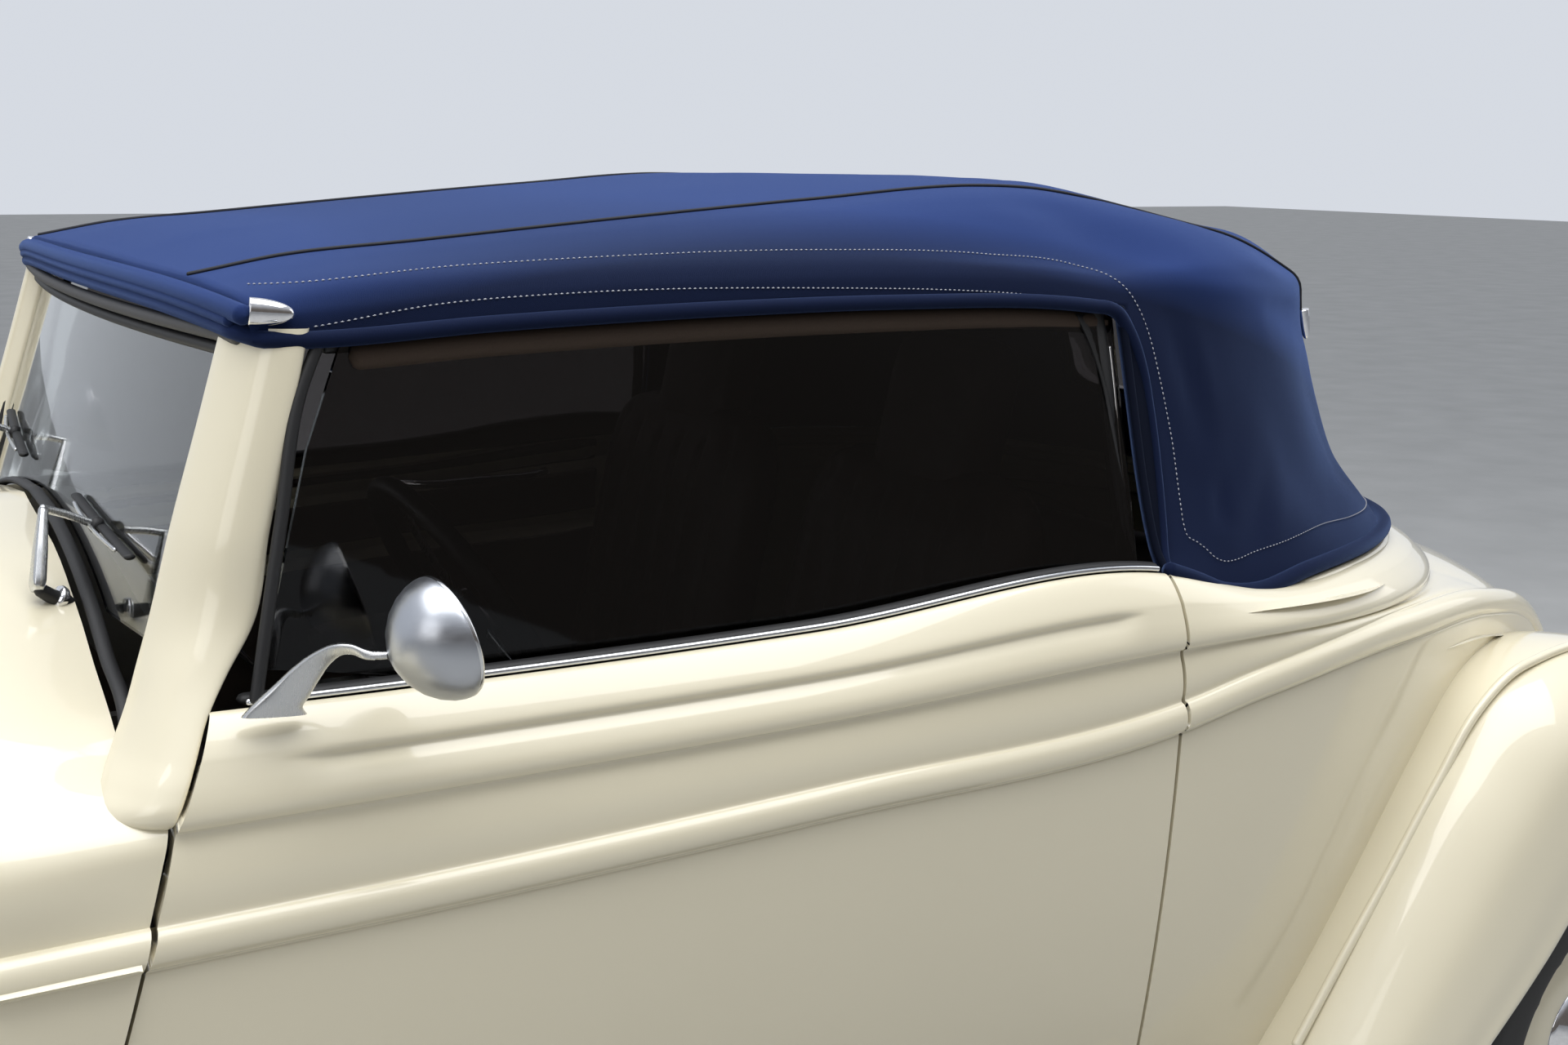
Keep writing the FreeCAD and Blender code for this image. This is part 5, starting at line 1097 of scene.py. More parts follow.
frontFender = fenderGrid(fenderRows["front"], 88, 0.78)[::-1]
rearFender = fenderGrid(fenderRows["rear"], 100, 0.80)[::-1]
for side, flip in sides:
    for place, fender in (("front", frontFender), ("rear", rearFender)):
        skin = addGrid(f"{place}_fender_skin_{side}", fender, "chassis", *painted, mirror=flip)
        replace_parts(thicken(skin, 0.006), f"{place}_fender_{side}")
print("fenders")

# mirrors: satin bowl with a bright rim and glass, on a curved tapered arm that stands on the door's sill
mirror = {
    "centre": (0.3217, 0.757, 1.1241), "facing": (-0.962, -0.135, 0.236),
    "bowl": [(0.0, 0.0535), (0.0014, 0.0548), (0.0004, 0.0560), (-0.0025, 0.0565), (-0.0065, 0.0562),
             (-0.014, 0.0542), (-0.024, 0.0492), (-0.034, 0.0412), (-0.043, 0.0300), (-0.049, 0.0180),
             (-0.0525, 0.0080), (-0.0535, 0.0)],
    # arm: upper edge x, z; lower edge x, z; y of the middle; half thickness
    "arm": [(0.4780, 1.0490, 0.4200, 1.0440, 0.664, 0.0085), (0.4695, 1.0590, 0.4244, 1.0516, 0.668, 0.0080),
            (0.4519, 1.0759, 0.4199, 1.0631, 0.674, 0.0070), (0.4353, 1.0940, 0.4127, 1.0812, 0.684, 0.0062),
            (0.4191, 1.1090, 0.4058, 1.0977, 0.697, 0.0055), (0.4066, 1.1169, 0.3998, 1.1065, 0.709, 0.0050),
            (0.3949, 1.1181, 0.3931, 1.1083, 0.720, 0.0046), (0.3864, 1.1147, 0.3874, 1.1061, 0.729, 0.0042),
            (0.3790, 1.1128, 0.3800, 1.1058, 0.736, 0.0036)],
}


def armGrid(rows, around=24):
    # superellipse section between the upper and lower edge: |u|^3 + |w|^3 = 1, u along the edge line, w across
    rows = along(np.array(rows), 40)
    a = np.linspace(0, 2 * np.pi, around, endpoint=False)
    u = np.sign(np.cos(a)) * np.abs(np.cos(a)) ** (2 / 3)
    w = np.sign(np.sin(a)) * np.abs(np.sin(a)) ** (2 / 3)
    top = np.stack([rows[:, 0], rows[:, 4], rows[:, 1]], -1)
    low = np.stack([rows[:, 2], rows[:, 4], rows[:, 3]], -1)
    centreAt, reach = (top + low) / 2, (top - low) / 2
    sideways = (w[None, :] * rows[:, 5:6])[..., None] * np.array([0.12, 0.99, 0.05])
    return centreAt[:, None] + u[None, :, None] * reach[:, None] + sideways


facing = unit(np.array(mirror["facing"]))
rimProfile = [(0.0012, 0.0522), (0.0028, 0.0532), (0.0034, 0.0545), (0.0028, 0.0558), (0.0006, 0.0567),
              (-0.0012, 0.0562)]
for side, flip in sides:
    rides = f"door_{side}"
    bowl = lathe(f"mirror_bowl_{side}", mirror["bowl"], mirror["centre"], facing, rides, "brushed_alu", satin,
                 steps=96, mirror=flip)
    lathe(f"mirror_rim_{side}", rimProfile, mirror["centre"], facing, rides, "brushed_alu", strip, steps=96,
          mirror=flip)
    lathe(f"mirror_glass_{side}", [(-0.0002, 0.0530), (-0.0002, 0.0)], mirror["centre"], facing, rides, *chromed,
          steps=64, mirror=flip)
    addGrid(f"mirror_arm_{side}", armGrid(mirror["arm"]), rides, *brushedMetal, mirror=flip, wrapColumns=True)
    addTube(f"mirror_neck_{side}", [(0.3830, 0.7325, 1.1098), (0.3745, 0.7395, 1.1100), (0.3660, 0.7440, 1.1105)],
            [0.0036, 0.0036, 0.0030], rides, *brushedMetal, mirror=flip)
    lathe(f"mirror_ball_{side}", [(0.0062 * math.cos(a), 0.0062 * math.sin(a)) for a in np.linspace(0, math.pi, 12)],
          (0.3655, 0.7445, 1.1106), facing, rides, *rubbered, steps=24, mirror=flip)
    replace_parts(bowl, f"mirror_{side}")
print("mirrors")

# windscreen: rubber strip round the pane on the screen's own bowed surface, and the two wipers
footLine = np.array([(0.529, 1.013), (0.517, 1.022), (0.436, 1.053), (0.343, 1.088), (0.239, 1.117), (0.120, 1.138),
                     (0.0, 1.146)])
footLine = along(footLine, 60)
footHalf = np.stack([screenX(footLine[:, 1], footLine[:, 0], 0.010), footLine[:, 0], footLine[:, 1] + 0.001], -1)
footPath = fromLeft(footHalf)
addTube("screen_foot_rubber", footPath, screen["footRubber"], "chassis", *rubbered, squash=0.6)
upZ = np.linspace(1.020, 1.352, 30)
for side, flip in sides:
    edge = np.stack([screenX(upZ, 0.522, 0.004), np.full(30, screen["half"]), upZ], -1)
    addTube(f"screen_side_rubber_{side}", edge, screen["sideRubber"], "chassis", *rubbered, mirror=flip,
            up=(1, 0, 0))
headY = np.linspace(-0.523, 0.523, 40)
headPath = np.stack([screenX(screen["head"], headY, 0.006), headY, np.full(40, screen["head"])], -1)
addTube("screen_head_rubber", headPath, screen["headRubber"], "chassis", *rubbered)
stripPath = np.stack([screenX(1.372, headY * 1.07, 0.020), headY * 1.07, np.full(40, 1.3705)], -1)
addTube("header_weatherstrip", stripPath, screen["weatherstrip"], "chassis", "frame_black", greyStrip)


def wiperSet(tag, shift, lift):
    base = np.array([0.5640, 0.325 + shift, 1.090 + lift])
    low, high = np.array([0.5900, 0.334 + shift, 1.105 + lift]), np.array([0.5740, 0.301 + shift, 1.181 + lift])
    knob = np.array([screenX(1.158 + lift, 0.295, 0.010), 0.295 + shift, 1.158 + lift])
    shaft = [base - [0.004, 0.001, 0.008], base, (base + low) / 2, low - [0.004, 0, 0]]
    spindle = addTube(f"wiper_spindle_{tag}", shaft, [0.010, 0.0085, 0.0075, 0.0070], "chassis", *rubbered)
    lathe(f"wiper_nut_{tag}", [(-0.004, 0.011), (0.001, 0.0125), (0.004, 0.011), (0.006, 0.0)],
          base + [0.004, 0.001, 0.004], low - base, "chassis", *chromed, steps=28)
    t = np.linspace(0, 1, 18)
    wide = np.interp(t, [0, 0.08, 0.5, 1], [0.0105, 0.0130, 0.0105, 0.0060])
    deep = np.interp(t, [0, 0.08, 0.5, 1], [0.0045, 0.0068, 0.0062, 0.0040])
    a = np.linspace(0, 2 * np.pi, 24, endpoint=False)
    u, w = (np.sign(f(a)) * np.abs(f(a)) ** 0.45 for f in (np.cos, np.sin))
    ahead = unit(high - low)
    across = unit(np.cross(ahead, [1, 0, 0.3]))
    out = np.cross(across, ahead)
    path = low + (high - low) * t[:, None]
    bar = path[:, None] + (wide[:, None] * u)[..., None] * across + (deep[:, None] * w)[..., None] * out
    cap = lambda ring, centreAt: np.repeat(centreAt[None, None], ring.shape[1], 1)
    bar = np.concatenate([cap(bar, path[0]), bar, cap(bar, path[-1])])
    addGrid(f"wiper_arm_{tag}", bar, "chassis", *brushedMetal, wrapColumns=True, inside=tuple(path[9]))
    addTube(f"wiper_link_{tag}", [high, (high + knob) / 2 + [0.004, 0, 0.003], knob], 0.0042, "chassis",
            *brushedMetal)
    lathe(f"wiper_knob_{tag}", [(-0.006, 0.004), (-0.004, 0.0082), (0.003, 0.0088), (0.007, 0.006), (0.008, 0)], knob,
          (0.9, 0.0, 0.4), "chassis", *rubbered, steps=24)
    bladeY = np.linspace(-0.115, 0.115, 26)
    rise = 0.10 * bladeY
    z = knob[2] - rise
    y = knob[1] + bladeY
    blade = np.stack([screenX(z, y, 0.007), y, z], -1)
    addTube(f"wiper_blade_{tag}", blade, 0.0032, "chassis", *rubbered, squash=1.8, up=(1, 0, 0))
    rider = np.stack([screenX(z, y, 0.0115) + 0.006 * (1 - (bladeY / 0.115) ** 2), y, z], -1)
    addTube(f"wiper_rail_{tag}", rider[3:-3], 0.0022, "chassis", *brushedMetal)
    return spindle


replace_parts(wiperSet("left", 0.0, 0.0), "wipers")
wiperSet("right", -0.560, 0.019)
print("windscreen")

# side windows: dark channel behind the glass with a thin bright strip, sill rubber and bright sill strip on the door
sillS = np.linspace(-0.462, 0.556, 70)
sill = wallAt(sillS, 0.0)
rear = np.array([(-0.498, 0.600, 1.362), (-0.514, 0.607, 1.330), (-0.530, 0.618, 1.282), (-0.543, 0.633, 1.196),
                 (-0.556, 0.655, 1.070)])
stripLine = np.array([
    (-0.5465, 0.590, 1.362), (-0.5475, 0.600, 1.322), (-0.5485, 0.609, 1.280), (-0.5500, 0.624, 1.196),
    (-0.5560, 0.646, 1.076)])
frontLine = np.array([(0.372, 0.592, 1.364), (0.388, 0.596, 1.330), (0.418, 0.612, 1.206), (0.452, 0.632, 1.054)])
for side, flip in sides:
    door = f"door_{side}"
    line = stationPoint(sillS, sill[:, 0] - 0.004, sill[:, 1] + 0.004)
    addTube(f"sill_rubber_{side}", line - [0, 0.010, -0.001], 0.0085, door, *rubbered, mirror=flip, squash=0.6)
    addTube(f"sill_strip_{side}", line + [0, 0.0015, 0.0005], 0.0034, door, *trimmed, mirror=flip)
    addTube(f"window_channel_{side}", along(stripLine + [0.0085, -0.006, 0], 30), 0.0085, "chassis", *rubbered,
            mirror=flip, up=(1, 0, 0))
    addTube(f"window_strip_{side}", along(stripLine[1:], 30), 0.0018, "chassis", *trimmed, mirror=flip,
            up=(1, 0, 0))
    filler = np.stack([along(rear - [0.004, 0.006, 0], 24), along(stripLine + [0.010, -0.006, 0], 24)], 1)
    thicken(addGrid(f"window_filler_{side}", filler, "chassis", *rubbered, mirror=flip, inside=(-0.5, 0, 1.2)), 0.004)
    addTube(f"post_rubber_{side}", along(frontLine + [0.004, 0.0, 0], 30), 0.0060, "chassis", *rubbered,
            mirror=flip, up=(1, 0, 0))
    lining = clothAt(np.linspace(-0.36, 0.548, 60), 3.9)
    trim = plainMaterial(f"brownLining_{side}", (0.045, 0.028, 0.018), 0.85, grain=0.3, scale=500)
    addTube(f"top_lining_{side}", lining - [0, 0.020, 0.013], 0.0105, "chassis", "top_cloth", trim, mirror=flip,
            squash=1.2)
    for k, (x, z) in enumerate(((0.335, 1.362), (0.215, 1.352), (-0.42, 1.352))):
        addBox(f"top_latch_{side}_{k}", (x, 0.566, z), identity, (0.030, 0.006, 0.009), "chassis", *blackened,
               mirror=flip, edge=0.004)
print("windows")

# wheels: tyres with grooves and blocks, cream dished wheels with bright rings and caps
wheels = {
    "fl": {"at": (1.515, 0.720, 0.315), "radius": 0.315, "width": 0.195},
    "fr": {"at": (1.515, -0.720, 0.315), "radius": 0.315, "width": 0.195},
    "rl": {"at": (-1.330, 0.725, 0.345), "radius": 0.345, "width": 0.235},
    "rr": {"at": (-1.330, -0.725, 0.345), "radius": 0.345, "width": 0.235},
}
rimRadius = 0.216


def tyreGrid(at, radius, width, steps=144):
    # half profile (share of the width, radius) mirrored; the tread is cut by four grooves 6 mm deep and, on the
    # shoulders, by cross slots at every sixth step: r = r0 - 0.004 slot(a) shoulder(y)
    half = [(0.33, 0.2130), (0.372, 0.2230), (0.420, 0.2300), (0.432, 0.2340), (0.455, 0.2380), (0.478, 0.2480),
            (0.492, 0.2620), (0.4985, (radius + rimRadius) / 2 + 0.002), (0.490, radius - 0.030),
            (0.468, radius - 0.018), (0.430, radius - 0.0095), (0.395, radius - 0.0062)]
    line = along(np.array([(y * width, r) for y, r in half]), 22)
    treadY = np.linspace(line[-1, 0], -line[-1, 0], 43)[1:-1]
    treadR = radius - 0.0062 * (np.abs(treadY) / line[-1, 0]) ** 2.2
    for groove in (-0.245, -0.085, 0.085, 0.245):
        treadR = treadR - 0.006 * (np.abs(treadY - groove * width) < 0.0040)
    y = np.concatenate([line[:, 0], treadY, -line[::-1, 0]])
    r = np.concatenate([line[:, 1], treadR, line[::-1, 1]])
    a = np.linspace(0, 2 * np.pi, steps, endpoint=False)
    slot = (np.arange(steps) % 6 == 0) * 1.0
    shoulder = smoothStep((np.abs(y) / width - 0.27) / 0.02) * smoothStep((0.475 - np.abs(y) / width) / 0.02)
    ring = r[:, None] - 0.004 * shoulder[:, None] * slot[None, :]
    return np.stack([at[0] + ring * np.cos(a), at[1] + np.repeat(y[:, None], steps, 1), at[2] + ring * np.sin(a)], -1)


for tag, wheel in wheels.items():
    at, rides = wheel["at"], f"wheel_{tag}"
    out = 1 if at[1] > 0 else -1
    w = wheel["width"] / 2 * 0.66
    tyre = addGrid(f"tyre_skin_{tag}", tyreGrid(at, wheel["radius"], wheel["width"]), rides, "tyre_rubber",
                   materials["tyre_rubber"], wrapColumns=True, inside=(at[0], at[1], at[2]))
    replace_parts(tyre, f"tyre_{tag}")
    axis = (0, out, 0)
    drop = [(-w * 0.2, 0.184), (w * 0.10, 0.184), (w * 0.16, 0.182), (w * 0.22, 0.172), (w * 0.34, 0.140),
            (w * 0.50, 0.122), (w * 0.56, 0.110), (w * 0.55, 0.080), (w * 0.46, 0.060), (w * 0.44, 0.0352)]
    dish = lathe(f"wheel_dish_{tag}", drop, at, axis, rides, *painted, steps=96)
    thicken(dish, 0.006, offset=0.0)
    well = [(-w, 0.2115), (-w * 0.85, 0.2090), (-w * 0.5, 0.190), (w * 0.2, 0.1885), (w * 0.72, 0.2065),
            (w * 0.95, 0.2115)]
    barrel = lathe(f"wheel_barrel_{tag}", well, at, axis, rides, *alloyed, steps=96)
    thicken(barrel, 0.004, offset=0.0)
    ringProfile = [(w * 0.98, 0.2138), (w * 1.02, 0.2120), (w * 1.01, 0.2075), (w * 0.90, 0.2035), (w * 0.72, 0.1985),
                   (w * 0.50, 0.1920), (w * 0.33, 0.1860), (w * 0.26, 0.1800), (w * 0.27, 0.1745), (w * 0.22, 0.1725)]
    lathe(f"wheel_ring_{tag}", ringProfile, at, axis, rides, *chromed, steps=96)
    capProfile = [(w * 0.50, 0.0880), (w * 0.56, 0.0905), (w * 0.62, 0.0890), (w * 0.66, 0.0840), (w * 0.80, 0.0690),
                  (w * 0.92, 0.0480), (w * 0.98, 0.0260), (w * 1.00, 0.0)]
    lathe(f"wheel_cap_{tag}", capProfile, at, axis, rides, *chromed, steps=72)
    stem = np.array(at) + [0.150, out * w * 0.30, 0.070]
    addTube(f"wheel_valve_{tag}", [stem, stem + [0.002, out * 0.012, 0], stem + [0.004, out * 0.026, 0.001]],
            [0.0045, 0.0040, 0.0030], rides, *rubbered, around=10)
    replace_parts(dish, f"rim_{tag}")
print("wheels")

# hood: each section has three arcs a side, carried along the car; louvres and bead are offsets along the normal
hoodKnots = np.array([0.640, 0.900, 1.150, 1.400, 1.680])
# lower half-width, widest half-width, its height, shoulder half-width, height
hoodTable = np.array([
    (0.618, 0.662, 0.868, 0.446, 1.060), (0.560, 0.596, 0.858, 0.392, 1.045),
    (0.455, 0.490, 0.850, 0.326, 1.026), (0.330, 0.362, 0.842, 0.254, 1.004),
    (0.214, 0.238, 0.832, 0.176, 0.980)])
hood = {"crown": 1.150, "fall": 0.067, "low": 0.520, "split": 0.905, "splitFall": 0.03, "gap": 0.005, "rear": 0.685,
        "front": 1.685, "sideFront": 1.6895, "frontRake": 0.25, "bead": 0.853, "beadFall": 0.055, "beadHalf": 0.018,
        "beadStand": 0.009}
louvre = {"count": 16, "first": 0.796, "pitch": 0.038, "lean": 0.147, "low": 0.655, "high": 0.815, "open": 0.55,
          "stand": 0.0075}


def arcThrough(a, b, c, share):
    # point at that share of the angle on the circle through three points, for arrays of points
    ab, cb = a - b, c - b
    cross = ab[..., 0] * cb[..., 1] - ab[..., 1] * cb[..., 0]
    la, lc = (ab ** 2).sum(-1), (cb ** 2).sum(-1)
    ux = (cb[..., 1] * la - ab[..., 1] * lc) / (2 * cross)
    uy = (ab[..., 0] * lc - cb[..., 0] * la) / (2 * cross)
    centreAt = b + np.stack([ux, uy], -1)
    radius = np.hypot(ux, uy)
    angle = lambda q: np.arctan2(q[..., 1] - centreAt[..., 1], q[..., 0] - centreAt[..., 0])
    first, mid, last = angle(a), angle(b), angle(c)
    turn = lambda t: (t + np.pi) % (2 * np.pi) - np.pi
    span = turn(mid - first) + turn(last - mid)
    t = first + span * share
    return centreAt + radius[..., None] * np.stack([np.cos(t), np.sin(t)], -1)


def hoodPoint(x, u):
    # u 0..1 lower side, 1..2 shoulder, 2..3 top to the middle line; gives (half-width, height)
    x, u = np.broadcast_arrays(np.asarray(x, float), np.asarray(u, float))
    row = carry(hoodKnots, hoodTable, x)
    low = np.stack([row[..., 0], np.full(x.shape, hood["low"])], -1)
    wide, side = row[..., 1:3], row[..., 3:5]
    crown = hood["crown"] - (x - body["cowlFront"]) * hood["fall"]
    top = np.stack([0 * x, crown], -1)
    far = side * [-1, 1]
    one = arcThrough(low, (low + wide) / 2 + [0.008, 0], wide, np.clip(u, 0, 1))
    two = arcThrough(wide, (wide + side) / 2 + [0.036, 0.030], side, np.clip(u - 1, 0, 1))
    three = arcThrough(side, top, far, np.clip(u - 2, 0, 1) / 2)
    return np.where((u <= 1)[..., None], one, np.where((u <= 2)[..., None], two, three))


def hoodPlace(x, z):
    # u at which the side of the hood has height z at each x (below the shoulder)
    u = np.linspace(0, 2, 81)
    return np.array([np.interp(level, hoodPoint(at, u)[:, 1], u) for at, level in zip(x, z)])


def hoodSheet(rows, columns, uLow, uHigh, frontX):
    # rows run along the car; both ends follow their raked gaps, found by repeating x = gap(z(x, u))
    share = np.linspace(0, 1, rows)[:, None]
    x = hood["rear"] + (frontX - hood["rear"]) * share * np.ones((1, columns))
    for _ in range(5):
        u = uLow(x) + (uHigh(x) - uLow(x)) * np.linspace(0, 1, columns)[None]
        hz = hoodPoint(x, u)
        ends = rakeX(hz[..., 1], hood["rear"], body["rake"]), rakeX(hz[..., 1], frontX, hood["frontRake"])
        x = ends[0] + (ends[1] - ends[0]) * share
    return np.concatenate([x[..., None], hz], -1)


def normals(grid):
    down, across = np.gradient(grid, axis=0), np.gradient(grid, axis=1)
    n = unit(np.cross(down, across), 1e-12)
    return n * np.where(n[..., 1:2].mean() < 0, -1, 1)


splitZ = lambda x, shift: hood["split"] - (x - body["cowlFront"]) * hood["splitFall"] + shift
splitTable = np.linspace(0.60, 1.95, 40)
splitU = hoodPlace(np.clip(splitTable, 0.64, 1.68), splitZ(splitTable, hood["gap"]))
splitLow = hoodPlace(np.clip(splitTable, 0.64, 1.68), splitZ(splitTable, 0.0))
panel = hoodSheet(80, 56, lambda x: np.interp(x, splitTable, splitU), lambda x: 3.0, hood["front"])
panel[:, -1, 1] = 0.0025
sideSheet = hoodSheet(250, 56, lambda x: 0.02, lambda x: np.interp(x, splitTable, splitLow), hood["sideFront"])
n = normals(sideSheet)
x, z = sideSheet[..., 0], sideSheet[..., 2]
# each louvre rises over 55 % of its pitch and drops at once, and leans back with the height; the bead's section is
# (1 - t^2)^0.75, t from -1 at its lower to 1 at its upper edge
pitchOf = (x + (z - 0.680) * louvre["lean"] - louvre["first"]) / louvre["pitch"]
inside = (pitchOf > 0) & (pitchOf < louvre["count"])
phase = pitchOf - np.floor(pitchOf)
band = smoothStep((z - louvre["low"]) / 0.02) * smoothStep((louvre["high"] - z) / 0.02)
tooth = np.where(phase < louvre["open"], smoothStep(phase / louvre["open"]), 0) * inside * band
beadZ = hood["bead"] - hood["beadFall"] * (x - body["cowlFront"])
bead = np.clip(1 - ((z - beadZ) / hood["beadHalf"]) ** 2, 0, 1) ** 0.75
sideSheet = sideSheet + n * (louvre["stand"] * tooth + hood["beadStand"] * bead)[..., None]
for side, flip in sides:
    skin = addGrid(f"hood_panel_{side}", panel, f"hood_{side}", *painted, mirror=flip, inside=(1.2, 0, 0.7))
    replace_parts(thicken(skin, 0.010, 0.0018), f"hood_{side}")
    skin = addGrid(f"hood_side_skin_{side}", sideSheet, "chassis", *painted, mirror=flip, inside=(1.2, 0, 0.7))
    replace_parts(thicken(skin, 0.003), f"hood_side_{side}")
print("hood")

# aprons between front fenders, hood sides and frame
apronTable = np.array([
    (1.860, 0.592, 0.492), (1.780, 0.655, 0.486), (1.556, 0.721, 0.472), (1.346, 0.695, 0.476),
    (1.147, 0.596, 0.506)])
edge = along(apronTable, 60)
outer = edge[:, [0, 2, 1]]
inner = np.stack([edge[:, 0], np.full(60, 0.328), np.full(60, 0.4500)], -1)
t = np.linspace(0, 1, 20)[None, :, None]
apron = outer[:, None] * (1 - t) + inner[:, None] * t + np.array([0, 0, 0.012]) * (4 * t * (1 - t))
for side, flip in sides:
    addGrid(f"front_apron_{side}", apron, "chassis", *painted, mirror=flip, inside=(1.5, 0.6, 0.0))

# body-coloured welt between the rear fender and the quarter
welt = [(-1.290, 0.738, 0.912), (-1.185, 0.741, 0.901), (-1.130, 0.741, 0.887), (-1.072, 0.740, 0.846),
        (-1.006, 0.739, 0.758), (-0.928, 0.738, 0.646), (-0.851, 0.737, 0.541), (-0.788, 0.736, 0.451)]
for side, flip in sides:
    addTube(f"fender_welt_{side}", along(welt, 90), 0.0062, "chassis", *painted, mirror=flip)

# running boards: ribbed rubber mats with a bright edge
board = {"rear": -0.690, "front": 0.715, "inner": 0.662, "outer": 0.842, "top": 0.3005, "ribs": 15,
         "ribHeight": 0.0028}
ribY = np.linspace(board["inner"] + 0.012, board["outer"] - 0.014, board["ribs"] * 8)
ribTurn = (ribY - ribY[0]) / (ribY[-1] - ribY[0]) * 2 * np.pi * board["ribs"]
ribZ = board["top"] + board["ribHeight"] * np.clip(np.cos(ribTurn) + 0.3, 0, 1)
ends = np.array([board["rear"], board["front"]])
edge = [(x, 0.8495, 0.294) for x in (board["rear"], 0.0, board["front"])]
mat = np.stack([np.repeat(ends[:, None], len(ribY), 1), np.repeat(ribY[None], 2, 0), np.repeat(ribZ[None], 2, 0)], -1)
for side, flip in sides:
    addGrid(f"board_mat_{side}", mat, "chassis", *rubbered, mirror=flip, inside=(0, 0.7, 0))
    addTube(f"board_edge_{side}", edge, 0.0058, "chassis", *trimmed, mirror=flip)
print("fenders and boards")

# headlamps and tail lamps: profiles are (distance ahead, radius)
lamp = {
    "at": (1.690, 0.420, 0.850), "tailAt": (-1.960, 0.690, 0.560), "ahead": (1, 0, 0),
    "bowl": [(-0.230, 0.0), (-0.226, 0.012), (-0.205, 0.034), (-0.165, 0.056), (-0.110, 0.0735), (-0.055, 0.0850),
             (-0.012, 0.0905), (0.0, 0.0915)],
    "rim": [(-0.010, 0.0905), (-0.006, 0.0945), (0.004, 0.0950), (0.011, 0.0915), (0.012, 0.0870), (0.006, 0.0855)],
    "reflector": [(0.002, 0.0865), (-0.020, 0.074), (-0.045, 0.052), (-0.062, 0.026), (-0.068, 0.0)],
    "bulb": [(-0.066, 0.010), (-0.040, 0.010), (-0.034, 0.0135), (-0.024, 0.013), (-0.016, 0.008), (-0.014, 0)],
    "lens": [(0.004, 0.0862), (0.010, 0.076), (0.0155, 0.055), (0.0185, 0.030), (0.0195, 0.0)],
    "stalk": [(1.630, 0.430, 0.795), (1.632, 0.448, 0.745), (1.630, 0.478, 0.690)],
    "arm": [(1.612, 0.405, 0.848), (1.605, 0.310, 0.815), (1.600, 0.262, 0.800)],
    "tailShell": [(0.110, 0.0), (0.100, 0.012), (0.060, 0.0275), (0.025, 0.0350), (0.0, 0.0375)],
    "tailRim": [(0.004, 0.0375), (0.0, 0.0385), (-0.0035, 0.0375), (-0.0035, 0.0335)],
    "tailLens": [(-0.001, 0.0345), (-0.006, 0.030), (-0.010, 0.018), (-0.011, 0.0)],
    "tailArm": [(-1.940, 0.690, 0.558), (-1.905, 0.672, 0.540), (-1.880, 0.660, 0.522)],
}
for side, flip in sides:
    spot = lamp["at"], lamp["ahead"], "chassis"
    tailSpot = lamp["tailAt"], lamp["ahead"], "chassis"
    shell = lathe(f"headlamp_bowl_{side}", lamp["bowl"], *spot, *chromed, steps=72, mirror=flip)
    thicken(shell, 0.002)
    lathe(f"headlamp_rim_{side}", lamp["rim"], *spot, *chromed, steps=72, mirror=flip)
    lathe(f"headlamp_reflector_{side}", lamp["reflector"], *spot, *chromed, steps=64, mirror=flip)
    lathe(f"headlamp_bulb_{side}", lamp["bulb"], *spot, *alloyed, steps=32, mirror=flip)
    lens = lathe(f"headlamp_lens_{side}", lamp["lens"], *spot, "clear_glass", materials["clear_glass"], steps=72,
                 mirror=flip)
    addTube(f"headlamp_stalk_{side}", along(lamp["stalk"], 16), np.linspace(0.015, 0.019, 16), "chassis", *chromed,
            mirror=flip)
    addTube(f"headlamp_arm_{side}", lamp["arm"], 0.0125, "chassis", *chromed, mirror=flip)
    tailShell = lathe(f"tail_lamp_{side}", lamp["tailShell"], *tailSpot, *chromed, steps=56, mirror=flip)
    lathe(f"tail_rim_{side}", lamp["tailRim"], *tailSpot, *chromed, steps=56, mirror=flip)
    lathe(f"tail_lens_{side}", lamp["tailLens"], *tailSpot, "lamp_red", materials["lamp_red"], steps=56, mirror=flip)
    addTube(f"tail_arm_{side}", lamp["tailArm"], 0.017, "chassis", *chromed, mirror=flip)
    if not flip:
        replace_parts(shell, "headlamps")
        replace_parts(lens, "headlamp_lenses")
        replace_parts(tailShell, "tail_lamps")
print("lamps")

# rear window: a pane behind an opening in the cloth, with a sewn border round it
rearPane = {"half": 0.250, "low": 1.135, "high": 1.290, "bend": 5.0}


def clothSpot(y, z, lift):
    # point of the back of the top at half-width y and height z: place and station are repeated until they settle
    y, z = np.broadcast_arrays(np.asarray(y, float), np.asarray(z, float))
    flatY, flatZ = np.abs(y).ravel(), z.ravel()
    s = np.full(flatY.shape, 1.75)
    for _ in range(6):
        v = clothPlace(s, flatZ)
        mix = profileWeights(12, v)
        h = np.einsum("nk,nkc->nc", mix, clothControls(s))[:, 0]
        s = crossing(flatY, h)
    points = clothAt(s, v, lift)
    points[:, 1] = np.abs(points[:, 1]) * np.where(y.ravel() < 0, -1, 1)
    return points.reshape(y.shape + (3,))


def paneOutline(shift, count=96):
    # outline grown by the shift: superellipse |y / a|^n + |z / b|^n = 1
    a = np.linspace(0, 2 * np.pi, count, endpoint=False)
    power = 2 / rearPane["bend"]
    middle, reach = (rearPane["low"] + rearPane["high"]) / 2, (rearPane["high"] - rearPane["low"]) / 2
    y = np.sign(np.cos(a)) * np.abs(np.cos(a)) ** power * (rearPane["half"] + shift)
    return y, middle + np.sign(np.sin(a)) * np.abs(np.sin(a)) ** power * (reach + shift)


